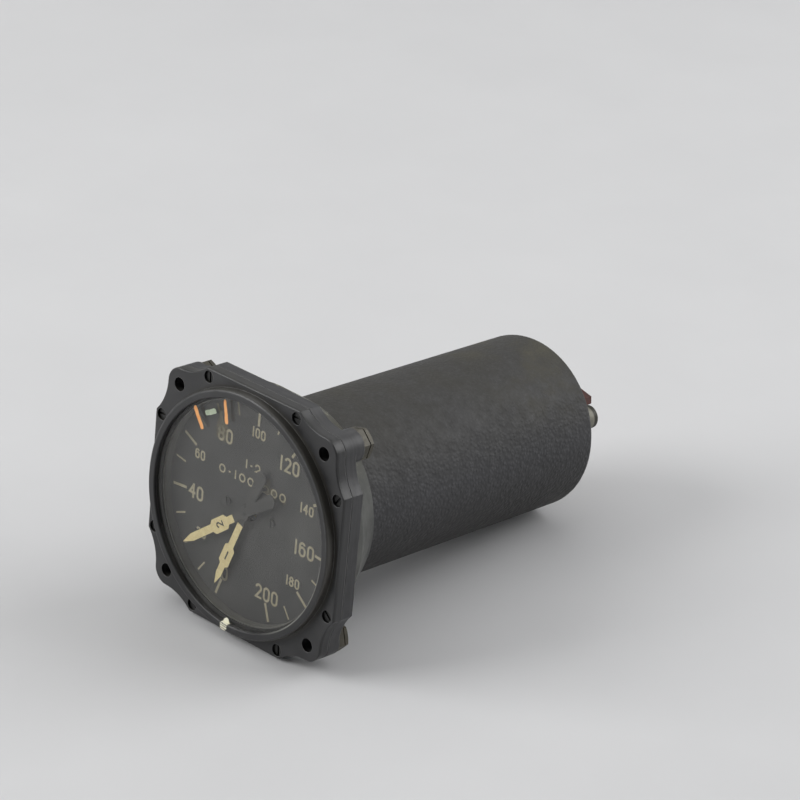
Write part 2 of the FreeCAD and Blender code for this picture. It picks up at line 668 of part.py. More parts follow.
def make_rear_plate():
    plate = ring(
        REAR_PLATE_RADIUS, PLATE_CENTRE_HOLE_RADIUS, REAR_PLATE_FRONT, REAR_PLATE_BACK
    )
    for x, z in rod_centres():
        plate = plate.cut(cylinder(ROD_RADIUS, REAR_PLATE_FRONT - 1.0, REAR_PLATE_BACK + 1.0, x, z))
    return plate


def make_tie_rod(index):
    x, z = rod_centres()[index]
    start = FRONT_PLATE_BACK - ROD_THREAD_DEPTH
    return cylinder(ROD_RADIUS, start, CAN_REAR + CASE_NUT_HEIGHT + ROD_TAIL, x, z)


def make_case_nut(index):
    x, z = rod_centres()[index]
    back = CAN_REAR + CASE_NUT_HEIGHT
    body = cylinder(CASE_NUT_RADIUS, CAN_REAR, back - CASE_NUT_BEVEL, x, z)
    cap = Part.makeCone(
        CASE_NUT_RADIUS,
        CASE_NUT_RADIUS - CASE_NUT_BEVEL,
        CASE_NUT_BEVEL,
        point(x, back - CASE_NUT_BEVEL, z),
        Y_AXIS,
    )
    return body.fuse(cap).cut(cylinder(ROD_RADIUS, CAN_REAR - 1.0, back + 1.0, x, z))


def make_motor_shell(start):
    end = start + MOTOR_SHELL_LENGTH
    shell = cylinder(MOTOR_RADIUS, start, end)
    shell = shell.cut(cylinder(MOTOR_INNER_RADIUS, start + MOTOR_FRONT_WALL, end + 1.0))
    return shell.cut(cylinder(BUSHING_RADIUS, start - 1.0, end))


def make_motor_bell(start):
    front = start + MOTOR_SHELL_LENGTH
    return ring(MOTOR_RADIUS, BUSHING_RADIUS, front, front + MOTOR_BELL_THICKNESS)


def slot_centres():
    centres = []
    for index in range(SLOT_COUNT):
        angle = 2.0 * math.pi * index / SLOT_COUNT
        centres.append((SLOT_CIRCLE_RADIUS * math.cos(angle), SLOT_CIRCLE_RADIUS * math.sin(angle)))
    return centres


def make_stator_core(start):
    front = start + STATOR_START
    back = front + STATOR_LENGTH
    core = ring(MOTOR_INNER_RADIUS, STATOR_BORE_RADIUS, front, back)
    for x, z in slot_centres():
        core = core.cut(cylinder(SLOT_RADIUS, front - 1.0, back + 1.0, x, z))
    return core


def make_stator_winding(start):
    front = start + STATOR_START
    back = front + STATOR_LENGTH
    winding = ring(COIL_OUTER_RADIUS, COIL_INNER_RADIUS, front - COIL_LENGTH, front)
    winding = winding.fuse(ring(COIL_OUTER_RADIUS, COIL_INNER_RADIUS, back, back + COIL_LENGTH))
    for x, z in slot_centres():
        winding = winding.fuse(cylinder(SLOT_RADIUS, front - 0.5, back + 0.5, x, z))
    return winding


def make_front_bushing(start, shaft_radius):
    bore = shaft_radius + RUNNING_CLEARANCE
    return ring(BUSHING_RADIUS, bore, start, start + MOTOR_FRONT_WALL)


def make_rear_bushing(start, shaft_radius):
    bore = shaft_radius + RUNNING_CLEARANCE
    front = start + MOTOR_SHELL_LENGTH
    return ring(BUSHING_RADIUS, bore, front, front + MOTOR_BELL_THICKNESS)


def make_brush_block(start):
    back = start + MOTOR_SHELL_LENGTH
    front = start + SLIP_RING_START
    half = 0.5 * BRUSH_BLOCK_WIDTH
    block = box(-half, half, front, back, BRUSH_FOOT, BRUSH_BLOCK_TOP)
    for offset in (0.0, SLIP_RING_LENGTH - SLIP_RING_RIM):
        middle = front + offset + 0.5 * SLIP_RING_RIM
        brush = box(
            -0.5 * BRUSH_THICKNESS,
            0.5 * BRUSH_THICKNESS,
            middle - 0.5 * BRUSH_THICKNESS,
            middle + 0.5 * BRUSH_THICKNESS,
            SLIP_RING_RADIUS + BRUSH_GAP,
            BRUSH_BLOCK_MIDDLE,
        )
        block = block.fuse(brush)
    return block


def make_rotor_core(start, shaft_radius):
    front = start + STATOR_START + ROTOR_INSET
    back = start + STATOR_START + STATOR_LENGTH - ROTOR_INSET
    radius = STATOR_BORE_RADIUS - ROTOR_GAP
    core = cylinder(radius, front, back)
    half_waist = 0.5 * ROTOR_WAIST
    pole = radius - ROTOR_POLE_DEPTH
    for side in (-1.0, 1.0):
        near = side * half_waist
        far = side * (radius + 1.0)
        notch = box(min(near, far), max(near, far), front - 1.0, back + 1.0, -pole, pole)
        core = core.cut(notch)
    return core.cut(cylinder(shaft_radius, front - 1.0, back + 1.0))


def make_slip_rings(start, shaft_radius):
    front = start + SLIP_RING_START
    back = front + SLIP_RING_LENGTH
    rings = cylinder(SLIP_RING_RADIUS, front, back)
    groove = ring(
        SLIP_RING_RADIUS + 1.0,
        SLIP_RING_RADIUS - SLIP_RING_GROOVE,
        front + SLIP_RING_RIM,
        back - SLIP_RING_RIM,
    )
    return rings.cut(groove).cut(cylinder(shaft_radius, front - 1.0, back + 1.0))


def make_left_shaft():
    end = FRONT_MOTOR_START + MOTOR_LENGTH - SLEEVE_END_GAP
    sleeve = cylinder(SLEEVE_RADIUS, LEFT_HUB_FRONT, end)
    hub = cylinder(LEFT_HUB_RADIUS, LEFT_HUB_FRONT, LEFT_HUB_BACK)
    return sleeve.fuse(hub).cut(cylinder(SLEEVE_BORE_RADIUS, LEFT_HUB_FRONT - 1.0, end + 1.0))


def make_right_shaft():
    return cylinder(SHAFT_RADIUS, SHAFT_NOSE, REAR_MOTOR_START + MOTOR_LENGTH)


def pointer_blade(front, arm, tip_start, tip, box_start, box_end, box_width, taper):
    back = front + POINTER_THICKNESS
    half_arm = 0.5 * arm
    half_box = 0.5 * box_width
    half_tip = 0.5 * POINTER_TIP_WIDTH
    return flat_piece(
        (
            (-half_arm, 0.0),
            (-half_arm, -box_start + taper),
            (-half_box, -box_start),
            (-half_box, -box_end),
            (-half_arm, -box_end - taper),
            (-half_arm, -tip_start),
            (-half_tip, -tip),
            (half_tip, -tip),
            (half_arm, -tip_start),
            (half_arm, -box_end - taper),
            (half_box, -box_end),
            (half_box, -box_start),
            (half_arm, -box_start + taper),
            (half_arm, 0.0),
        ),
        front,
        back,
    )


def pointer_tail(front, arm, length, radius):
    back = front + POINTER_THICKNESS
    half_arm = 0.5 * arm
    web = flat_piece(
        ((-half_arm, 0.0), (-radius, length), (radius, length), (half_arm, 0.0)), front, back
    )
    return web.fuse(cylinder(radius, front, back, 0.0, length))


def make_left_pointer():
    back = LEFT_POINTER_FRONT + POINTER_THICKNESS
    blade = pointer_blade(
        LEFT_POINTER_FRONT,
        LEFT_ARM_WIDTH,
        LEFT_TIP_START,
        LEFT_TIP_RADIUS,
        LEFT_BOX_START,
        LEFT_BOX_END,
        LEFT_BOX_WIDTH,
        LEFT_BOX_TAPER,
    )
    tail = pointer_tail(LEFT_POINTER_FRONT, LEFT_ARM_WIDTH, LEFT_TAIL_LENGTH, LEFT_TAIL_RADIUS)
    pointer = blade.fuse(tail).fuse(cylinder(LEFT_SEAT_RADIUS, LEFT_POINTER_FRONT, back))
    pointer = pointer.cut(cylinder(SLEEVE_BORE_RADIUS, LEFT_POINTER_FRONT - 1.0, back + 1.0))
    return turn_about_axis(pointer, LEFT_REST_ANGLE)


def make_right_pointer():
    back = RIGHT_POINTER_FRONT + POINTER_THICKNESS
    blade = pointer_blade(
        RIGHT_POINTER_FRONT,
        RIGHT_ARM_WIDTH,
        RIGHT_TIP_START,
        RIGHT_TIP_RADIUS,
        RIGHT_BOX_START,
        RIGHT_BOX_END,
        RIGHT_BOX_WIDTH,
        RIGHT_BOX_TAPER,
    )
    tail = pointer_tail(RIGHT_POINTER_FRONT, RIGHT_ARM_WIDTH, RIGHT_TAIL_LENGTH, RIGHT_TAIL_RADIUS)
    pointer = blade.fuse(tail).fuse(cylinder(RIGHT_SEAT_RADIUS, RIGHT_POINTER_FRONT, back))
    pointer = pointer.cut(cylinder(SHAFT_RADIUS, RIGHT_POINTER_FRONT - 1.0, back + 1.0))
    return turn_about_axis(pointer, RIGHT_REST_ANGLE)


def upper_strip_outline():
    return (
        (-STRIP_FOOT_X, STRIP_INNER_HEIGHT),
        (-STRIP_END_X, STRIP_END_HEIGHT),
        (-STRIP_TOP_X, STRIP_TOP_HEIGHT),
        (STRIP_TOP_X, STRIP_TOP_HEIGHT),
        (STRIP_END_X, STRIP_END_HEIGHT),
        (STRIP_FOOT_X, STRIP_INNER_HEIGHT),
    )


def lower_strip_outline():
    return (
        (-LOWER_STRIP_HALF, LOWER_STRIP_TOP),
        (LOWER_STRIP_HALF, LOWER_STRIP_TOP),
        (LOWER_STRIP_HALF, LOWER_STRIP_BOTTOM),
        (-LOWER_STRIP_HALF, LOWER_STRIP_BOTTOM),
    )


def make_terminal_strip(outline, centres):
    back = CAN_REAR + STRIP_THICKNESS
    strip = flat_piece(outline, CAN_REAR, back)
    for x, z in centres:
        boss = cylinder(STRIP_BOSS_RADIUS, CAN_REAR - CAN_REAR_WALL, CAN_REAR + 1.0, x, z)
        strip = strip.fuse(boss)
        strip = strip.cut(cylinder(TERMINAL_SHANK_RADIUS, CAN_REAR - 5.0, back + 1.0, x, z))
    return strip


def make_terminal_screw(index):
    x, z = terminal_centres()[index]
    seat = CAN_REAR + STRIP_THICKNESS
    top = seat + TERMINAL_HEAD_HEIGHT
    shank = cylinder(
        TERMINAL_SHANK_RADIUS, CAN_REAR - CAN_REAR_WALL - TERMINAL_TAIL, seat, x, z
    )
    head = cylinder(TERMINAL_HEAD_RADIUS, seat, top, x, z)
    half = 0.5 * TERMINAL_SLOT_WIDTH
    slot = box(
        x - TERMINAL_HEAD_RADIUS - 1.0,
        x + TERMINAL_HEAD_RADIUS + 1.0,
        top - TERMINAL_SLOT_DEPTH,
        top + 1.0,
        z - half,
        z + half,
    )
    return shank.fuse(head).cut(slot)


def export_front():
    save("bezel", make_bezel())
    save("bezel_gasket", make_bezel_gasket())
    save("cover_glass", make_cover_glass())
    save("glass_gasket", make_glass_gasket())
    save("spacer_ring", make_spacer_ring())
    save("dial_plate", make_dial_plate())
    save("dial_screw_left", make_dial_screw(-1.0))
    save("dial_screw_right", make_dial_screw(1.0))
    for index in range(8):
        save("bezel_screw_" + str(index + 1), make_bezel_screw(index))


def export_case():
    save("flange_casting", make_flange_casting())
    save("case_can", make_case_can())
    for index in range(len(NUT_TURNS)):
        save("mounting_nut_" + str(index + 1), make_mounting_nut(index))
    for index in range(len(ROD_ANGLES)):
        save("tie_rod_" + str(index + 1), make_tie_rod(index))
        save("case_nut_" + str(index + 1), make_case_nut(index))
    centres = terminal_centres()
    save("terminal_strip_upper", make_terminal_strip(upper_strip_outline(), centres[:2]))
    save("terminal_strip_lower", make_terminal_strip(lower_strip_outline(), centres[2:]))
    for index in range(4):
        save("terminal_screw_" + str(index + 1), make_terminal_screw(index))


def export_motor(name, start, shaft_radius):
    save(name + "_motor_shell", make_motor_shell(start))
    save(name + "_motor_bell", make_motor_bell(start))
    save(name + "_stator_core", make_stator_core(start))
    save(name + "_stator_winding", make_stator_winding(start))
    save(name + "_motor_bushing_a", make_front_bushing(start, shaft_radius))
    save(name + "_motor_bushing_b", make_rear_bushing(start, shaft_radius))
    save(name + "_brush_block", make_brush_block(start))


def export_mechanism():
    save("front_plate", make_front_plate())
    save("rear_plate", make_rear_plate())
    export_motor("front", FRONT_MOTOR_START, SLEEVE_RADIUS)
    export_motor("rear", REAR_MOTOR_START, SHAFT_RADIUS)


def export_pointers():
    save("left_pointer", make_left_pointer())
    save("left_shaft", make_left_shaft())
    save("left_rotor_core", make_rotor_core(FRONT_MOTOR_START, SLEEVE_RADIUS))
    save("left_slip_rings", make_slip_rings(FRONT_MOTOR_START, SLEEVE_RADIUS))
    save("right_pointer", make_right_pointer())
    save("right_shaft", make_right_shaft())
    save("right_rotor_core", make_rotor_core(REAR_MOTOR_START, SHAFT_RADIUS))
    save("right_slip_rings", make_slip_rings(REAR_MOTOR_START, SHAFT_RADIUS))


os.makedirs("parts", exist_ok=True)
export_front()
export_case()
export_mechanism()
export_pointers()
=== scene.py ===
import math

import bpy
import bmesh
from mathutils import Matrix, Vector


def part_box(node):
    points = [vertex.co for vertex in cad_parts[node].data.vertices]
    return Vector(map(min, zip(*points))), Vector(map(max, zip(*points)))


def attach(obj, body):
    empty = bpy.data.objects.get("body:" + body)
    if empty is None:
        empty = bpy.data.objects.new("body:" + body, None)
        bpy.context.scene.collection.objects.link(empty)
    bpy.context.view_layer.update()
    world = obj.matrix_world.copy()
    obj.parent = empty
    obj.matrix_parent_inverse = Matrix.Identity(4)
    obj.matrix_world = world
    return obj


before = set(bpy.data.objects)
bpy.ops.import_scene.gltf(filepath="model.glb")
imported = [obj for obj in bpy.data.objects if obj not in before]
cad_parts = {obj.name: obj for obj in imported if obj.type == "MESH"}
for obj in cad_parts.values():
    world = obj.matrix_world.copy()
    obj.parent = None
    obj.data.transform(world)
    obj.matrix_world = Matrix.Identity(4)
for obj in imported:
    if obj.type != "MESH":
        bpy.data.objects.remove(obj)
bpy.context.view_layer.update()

# Units: the frame is in metres, the sizes below are in millimetres unless they say otherwise
MM = 0.001
CASE = "instrument_case"
LEFT = "left_pointer_train"
RIGHT = "right_pointer_train"

# Camera that matches the photograph
CAMERA_PLACE = (0.658222, -0.663680, 0.431630)
CAMERA_RIGHT = (0.71358506, 0.69473735, 0.09020184)
CAMERA_DOWN = (0.32925429, -0.21893114, -0.91851008)
CAMERA_FORWARD = (-0.61837527, 0.68513441, -0.38497124)
CAMERA_LENS = 152.98
CAMERA_SENSOR = 36.0

# Scale on the dial: pressure against angle, measured clockwise from straight down, and its own middle
SCALE_START = 21.0
DEGREES_PER_PSI = 1.6
FULL_SCALE = 200
MAJOR_STEP = 20
MINOR_STEP = 10
MAJOR_INNER = 28.5
MINOR_INNER = 30.2
TICK_OUTER = 34.5
MAJOR_WIDTH = 0.9
MINOR_WIDTH = 0.6
TICK_CENTRE = (0.3, -0.08)

# Printed numbers on the dial: text, x and z of the middle, height, stroke
DIAL_NUMBERS = (
    ("0", -8.8, -24.4, 4.9, 0.78),
    ("20", -20.3, -15.1, 3.35, 0.6),
    ("40", -23.85, -2.6, 4.9, 0.78),
    ("60", -23.25, 10.3, 3.35, 0.6),
    ("80", -13.0, 20.6, 4.9, 0.78),
    ("100", 1.15, 26.1, 3.35, 0.6),
    ("120", 15.0, 20.6, 4.9, 0.78),
    ("140", 23.65, 9.6, 3.35, 0.6),
    ("160", 23.95, -3.7, 4.9, 0.78),
    ("180", 20.35, -15.7, 3.35, 0.6),
    ("200", 9.85, -24.2, 4.9, 0.78),
)

# Two rows of plain numbers where the real dial has words: the same values, then how far they are stretched
DIAL_ROWS = (
    ("1-2", -0.3, 14.75, 2.9, 0.55, 1.4),
    ("0-100-200", 0.0, 9.5, 2.9, 0.55, 1.62),
)

# Print: its thickness, how far a further stroke stands over the one before, and the limit of its mitres
PRINT_HEIGHT = 0.03
LAYER_STEP = 0.008
MITRE_LIMIT = 0.5

# Widths of the characters and the gap between them, as shares of their height
DIGIT_WIDTH = 0.60
DIGIT_GAP = 0.115
ONE_WIDTH = 0.30
DASH_WIDTH = 0.42
DASH_HALF = 0.14

# Forms of the digits 2, 4, 6 and 8 in a cell of unit height, with angles anticlockwise from the right
STROKE_OVERLAP = 0.02
HOOK_START = 170.0
HOOK_END = -28.0
STEM_INSET = 0.10
BAR_SHARE = -0.24
BOWL_TOP = 0.14
BACK_END = 25.0
WAIST = 0.04
UPPER_SHARE = 0.9

# Olive stains on the dial, and painted shadows of the orange marks: x, z of the middle, half width, half
# height, strength
DIAL_STAINS_AND_SHADOWS = (
    (-14.4, 21.6, 3.4, 3.8, 0.8),
    # painted shadows of the orange marks: this one and the next, long and narrow
    (-15.4, 25.5, 1.3, 4.5, 0.4),
    (-8.3, 31.0, 0.5, 2.0, 0.5),
    (6.0, 11.2, 2.0, 2.6, 0.75),
    (8.4, 8.8, 2.0, 2.4, 0.85),
    (14.0, 8.6, 0.9, 1.2, 0.6),
)

# Where the same stains lie over the printed numbers and ticks: the first over the 80, the others painted
# shadows of the orange marks over the ticks at 70, 80 and 90
PRINT_STAINS_AND_SHADOWS = (
    (-14.7, 21.7, 2.6, 3.4, 0.62),
    (-23.0, 21.5, 4.0, 4.0, 0.93),
    (-16.2, 27.0, 3.4, 5.5, 0.93),
    (-8.2, 30.5, 2.4, 4.5, 0.72),
)

# Pointers: the angles at which the photograph shows them, and the paint on them
LEFT_ANGLE = 21.4
RIGHT_ANGLE = 52.8
PAINT_INSET = 0.06
PAINT_HEIGHT = 0.05

# Painted blade of each pointer: distances from the axis, full widths, and the taper beside its box
LEFT_BLADE = {
    "start": 4.9,
    "arm_width": 2.5,
    "tip_start": 26.1,
    "tip": 30.1,
    "box_start": 15.0,
    "box_end": 21.2,
    "box_width": 4.5,
    "taper": 1.0,
}
RIGHT_BLADE = {
    "start": 5.3,
    "arm_width": 2.6,
    "tip_start": 26.9,
    "tip": 31.8,
    "box_start": 9.3,
    "box_end": 15.2,
    "box_width": 4.8,
    "taper": 1.2,
}
BLADE_TIP_HALF = 0.12
BLADE_TIP_INSET = 0.3

# Number on each pointer: its distance from the axis, then the height, stroke and thickness of both
LEFT_NUMBER_RADIUS = 18.1
RIGHT_NUMBER_RADIUS = 12.25
POINTER_NUMBER_HEIGHT = 3.3
POINTER_NUMBER_STROKE = 0.55
POINTER_NUMBER_RISE = 0.02

# Marks painted on the glass: x, z of the start and of the end, the width at each, phase of the waver
ORANGE_STROKES = (
    ((-22.15, 28.2), (-18.0, 21.9), 1.5, 1.45, 1.0),
    ((-9.4, 34.7), (-7.85, 27.2), 1.05, 1.5, 3.0),
)
GREEN_STROKES = (
    ((-17.25, 27.45), (-12.8, 29.8), 1.6, 1.7, 0.5),
)
GLASS_PAINT_HEIGHT = 0.04

# Brush strokes: how wide the very end is, how soon the full width is reached, and the waver of the sides
STROKE_STEPS = 16
STROKE_END_SHARE = 0.55
STROKE_END_RATE = 6.0
SLOW_WAVER = 0.05
SLOW_WAVER_PACE = 9.0
FAST_WAVER = 0.04
FAST_WAVER_PACE = 23.0

# Slip mark over the edge of the glass and the ring: where it starts, cracks and ends from the axis
SLIP_START = 35.1
SLIP_END = 39.25
SLIP_CRACKS = (36.95, 37.6, 38.4)
SLIP_CRACK_HALF = 0.11
SLIP_CRACK_WAVER = 0.07
SLIP_CRACK_PACE = 1.7

# The slip mark's place across, lean and width, the bluntness of its ends, and the waver of its sides
SLIP_X = -1.45
SLIP_LEAN = -0.10
SLIP_WIDTH = 2.95
SLIP_INNER_BLUNT = 1.5
SLIP_OUTER_BLUNT = 3.0
SLIP_END_SHARE = 0.08
SLIP_LEFT_WAVER = 0.05
SLIP_LEFT_PACE = 5.1
SLIP_RIGHT_WAVER = 0.06
SLIP_RIGHT_PACE = 4.3
SLIP_STEPS = 40
SLIP_COLUMNS = 8

# Section of the ring under the slip mark, and how far inside its lip the mark turns onto the glass
RING_LIP_RADIUS = 36.7
RING_INNER_ROUND = 0.35
RING_OUTER_ROUND = 0.7
RING_OUTER_RADIUS = 39.3
LIP_STEP = 0.01

# Pale room: its colour, how strongly it lights the object, its brightness in reflections and to the camera
ROOM_COLOUR = (0.97, 0.985, 1.0, 1.0)
ROOM_LIGHT = 0.06
ROOM_REFLECTED = 0.26
ROOM_SEEN = 0.62

# Lamps, in metres: name, place, width, power, colour
LAMP_TARGET = (0.0, 0.06, 0.0)
LAMPS = (
    ("overhead", (-0.45, 0.20, 1.40), 2.2, 13.4, (1.0, 0.998, 0.99)),
    ("front_left", (-0.90, -1.10, 0.70), 1.0, 19.0, (1.0, 0.998, 0.99)),
    ("back_right", (0.80, 0.90, 0.90), 1.2, 14.0, (1.0, 1.0, 1.0)),
)

# Floor, in metres: half its width, and how far it stays below what it touches
FLOOR_HALF = 1.1
FLOOR_GAP = 0.0001

# Depth, in metres, behind which the round nuts at the back are black, and over which that begins
CASE_NUT_BLACK_DEPTH = 0.1347
BLACK_BAND_FADE = 0.0005

# How the object lies: the floor touches the flange's lower back edge and the can's rear
FLANGE_BACK_DEPTH = 8.2
CAN_REAR_CONTACT = 126.6


def polar(radius, degrees):
    """Point on the dial at an angle measured clockwise from straight down, as seen from the front."""
    turn = math.radians(degrees)
    return (-radius * math.sin(turn), -radius * math.cos(turn))


def psi_angle(pressure):
    return SCALE_START + DEGREES_PER_PSI * pressure


# Meshes
def mesh_object(name, vertices, faces):
    mesh = bpy.data.meshes.new(name)
    mesh.from_pydata([Vector(v) * MM for v in vertices], [], faces)
    mesh.update()
    piece = bpy.data.objects.new(name, mesh)
    bpy.context.scene.collection.objects.link(piece)
    return piece


def finish_piece(piece, material, body):
    piece.data.materials.append(material)
    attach(piece, body)


def slab_faces(count):
    """Faces of a slab whose front outline is followed by its back outline."""
    faces = [tuple(range(count)), tuple(reversed(range(count, 2 * count)))]
    for index in range(count):
        after = (index + 1) % count
        faces.append((index, index + count, after + count, after))
    return faces


def add_slab(parts, outline, front, back):
    """Add a flat slab with an (x, z) outline to a list of (vertices, faces)."""
    count = len(outline)
    vertices = [(x, front, z) for x, z in outline] + [(x, back, z) for x, z in outline]
    parts.append((vertices, slab_faces(count)))


def joined_object(name, parts):
    """One object from a list of (vertices, faces), with all faces turned outwards."""
    vertices = []
    faces = []
    for part_vertices, part_faces in parts:
        start = len(vertices)
        vertices.extend(part_vertices)
        faces.extend(tuple(index + start for index in face) for face in part_faces)
    piece = mesh_object(name, vertices, faces)
    tidy = bmesh.new()
    tidy.from_mesh(piece.data)
    bmesh.ops.recalc_face_normals(tidy, faces=tidy.faces)
    tidy.to_mesh(piece.data)
    tidy.free()
    return piece


def offset_path(path, half, closed):
    """Left and right sides of a stroked path, with mitred corners."""
    left = []
    right = []
    count = len(path)
    for index, here in enumerate(path):
        before = path[(index - 1) % count] if closed or index > 0 else None
        after = path[(index + 1) % count] if closed or index < count - 1 else None
        directions = []
        if before is not None:
            directions.append((Vector(here) - Vector(before)).normalized())
        if after is not None:
            directions.append((Vector(after) - Vector(here)).normalized())
        heading = sum(directions, Vector((0.0, 0.0))).normalized()
        normal = Vector((-heading.y, heading.x))
        spread = half / max(normal.dot(Vector((-directions[0].y, directions[0].x))), MITRE_LIMIT)
        left.append(Vector(here) + normal * spread)
        right.append(Vector(here) - normal * spread)
    return left, right


def add_stroke(parts, path, width, closed, front, back):
    """Add a raised stroke along an (x, z) path."""
    left, right = offset_path(path, 0.5 * width, closed)
    count = len(path)
    vertices = []
    for side in (left, right):
        vertices.extend((p.x, front, p.y) for p in side)
        vertices.extend((p.x, back, p.y) for p in side)
    left_front = 0
    left_back = count
    right_front = 2 * count
    right_back = 3 * count
    faces = []
    last = count if closed else count - 1
    for index in range(last):
        after = (index + 1) % count
        faces.append((left_front + index, left_front + after, right_front + after, right_front + index))
        faces.append((left_back + index, right_back + index, right_back + after, left_back + after))
        faces.append((left_front + index, left_back + index, left_back + after, left_front + after))
        faces.append((right_front + index, right_front + after, right_back + after, right_back + index))
    if not closed:
        for end in (0, count - 1):
            faces.append((left_front + end, right_front + end, right_back + end, left_back + end))
    parts.append((vertices, faces))


# Numbers drawn as strokes in a cell of unit height
def arc(centre_x, centre_z, radius_x, radius_z, start, end, steps=10):
    points = []
    for index in range(steps + 1):
        angle = math.radians(start + (end - start) * index / steps)
        points.append((centre_x + radius_x * math.cos(angle), centre_z + radius_z * math.sin(angle)))
    return points


def rounded_loop(half_width, low, high):
    radius = min(half_width, 0.5 * (high - low))
    top = arc(0.0, high - radius, half_width, radius, 0.0, 180.0)
    bottom = arc(0.0, low + radius, half_width, radius, 180.0, 360.0)
    return top + bottom


def digit_strokes(character, wide, high, half_stroke):
    """Paths of one character, each with whether it is closed, around the middle of its cell.

    The path's furthest points lie at wide and high from the middle, and half a stroke lies outside them.
    """
    edge = high + half_stroke
    if character == "0":
        return ((rounded_loop(wide, -high, high), True),)
    if character == "1":
        return (([(0.0, -edge), (0.0, edge)], False),)
    if character == "2":
        hook = arc(0.0, high - wide, wide, wide, HOOK_START, HOOK_END)
        foot = [(-wide + STROKE_OVERLAP, -high), (wide + half_stroke, -high)]
        return ((hook + foot, False),)
    if character == "4":
        stem = wide - STEM_INSET
        bar = BAR_SHARE * edge
        top = high + 0.5 * half_stroke
        diagonal = [(stem + STROKE_OVERLAP, top), (-wide, bar), (wide + half_stroke, bar)]
        return ((diagonal, False), ([(stem, -edge), (stem, edge)], False))
    if character == "6":
        bowl = rounded_loop(wide, -high, BOWL_TOP)
        back = [(-wide, -high + wide)] + arc(0.0, high - wide, wide, wide, 180.0, BACK_END)
        return ((bowl, True), (back, False))
    if character == "8":
        upper = rounded_loop(UPPER_SHARE * wide, WAIST, high)
        lower = rounded_loop(wide, -high, WAIST)
        return ((upper, True), (lower, True))
    dash = [(-DASH_HALF, 0.0), (DASH_HALF, 0.0)]
    return ((dash, False),)


def character_width(character):
    if character == "1":
        return ONE_WIDTH
    if character == "-":
        return DASH_WIDTH
    return DIGIT_WIDTH


def add_number(parts, text, x, z, height, stroke, front, back, turn=0.0, stretch=1.0):
    """Add a centred number, upright unless it is turned (degrees, anticlockwise from the front).

    Stretch widens the characters, and widens the gaps between them more.
    """
    half_stroke = 0.5 * stroke / height
    half_width = 0.5 * DIGIT_WIDTH * stretch - half_stroke
    half_height = 0.5 - half_stroke
    widths = [stretch * character_width(character) for character in text]
    gap = DIGIT_GAP * stretch ** 2
    total = sum(widths) + gap * (len(text) - 1)
    cursor = -0.5 * total
    angle = math.radians(turn)
    for character, width in zip(text, widths):
        middle = cursor + 0.5 * width
        strokes = digit_strokes(character, half_width, half_height, half_stroke)
        for layer, (path, closed) in enumerate(strokes):
            placed = []
            for px, pz in path:
                u = (px + middle) * height
                v = pz * height
                placed.append((
                    x + u * math.cos(angle) - v * math.sin(angle),
                    z + u * math.sin(angle) + v * math.cos(angle),
                ))
            add_stroke(parts, placed, stroke, closed, front - layer * LAYER_STEP, back)
        cursor += width + gap


# Colours of the paints and finishes, some with painted light or shade in them: linear red, green and blue
ENAMEL_DARK = (0.019, 0.019, 0.020)
ENAMEL_LIGHT = (0.030, 0.030, 0.031)
ENAMEL_STREAK = (0.040, 0.040, 0.041)
FOOT_GRIME_AND_SHADE = (0.026, 0.024, 0.018)
FOOT_DUST_AND_LIGHT = (0.048, 0.045, 0.039)
WORN_EDGE_AND_HIGHLIGHT = (0.19, 0.19, 0.19)
SIDE_BAND_BLACK = (0.004, 0.004, 0.004)
BARE_METAL_AND_HIGHLIGHT = (0.20, 0.20, 0.18)
SETTLED_DUST = (0.066, 0.063, 0.052)
CASTING_DARK = (0.027, 0.027, 0.029)
CASTING_LIGHT = (0.040, 0.040, 0.042)
CASTING_STREAK = (0.052, 0.052, 0.054)
CONE_DARK = (0.064, 0.066, 0.062)
CONE_LIGHT = (0.115, 0.118, 0.108)
CONE_LOW_REAR = (0.034, 0.034, 0.033)
CONE_GRIME = (0.060, 0.058, 0.044)
CREAM_CHIP = (0.36, 0.355, 0.27)
CAN_DARK = (0.029, 0.029, 0.031)
CAN_LIGHT = (0.038, 0.038, 0.041)
CAN_PEBBLE_HIGHLIGHT = (0.070, 0.070, 0.075)
CAN_UNDERSIDE_SHADE = (0.019, 0.018, 0.016)
CAN_TOP_DUST_AND_SHADE = (0.031, 0.029, 0.022)
CAN_SCUFF = (0.076, 0.070, 0.048)
NUT_REAR_BLACK = (0.030, 0.029, 0.020)
DIAL_DARK = (0.026, 0.026, 0.026)
DIAL_LIGHT = (0.034, 0.034, 0.034)
DIAL_OLIVE = (0.110, 0.095, 0.048)
PRINT_OLIVE = (0.085, 0.074, 0.036)
SPACER_DARK = (0.085, 0.085, 0.078)
SPACER_LIGHT = (0.130, 0.128, 0.112)
POINTER_DARK = (0.026, 0.026, 0.026)
POINTER_LIGHT = (0.038, 0.037, 0.034)
PHENOLIC_DARK = (0.050, 0.013, 0.010)
PHENOLIC_LIGHT = (0.095, 0.026, 0.018)
FLOOR_DARK = (0.634, 0.636, 0.646)
FLOOR_LIGHT = (0.656, 0.658, 0.668)
GLASS_CLEAR = (0.99, 0.99, 0.985, 1.0)
GLASS_FILM = (0.62, 0.61, 0.56, 1.0)

# Reflection of the glass: its roughness, its share seen straight on, and how it grows at steep angles
GLASS_ROUGHNESS = 0.04
GLASS_LEAST_REFLECTION = 0.04
GLASS_FACING_BLEND = 0.5
GLASS_STEEPNESS = 5.0

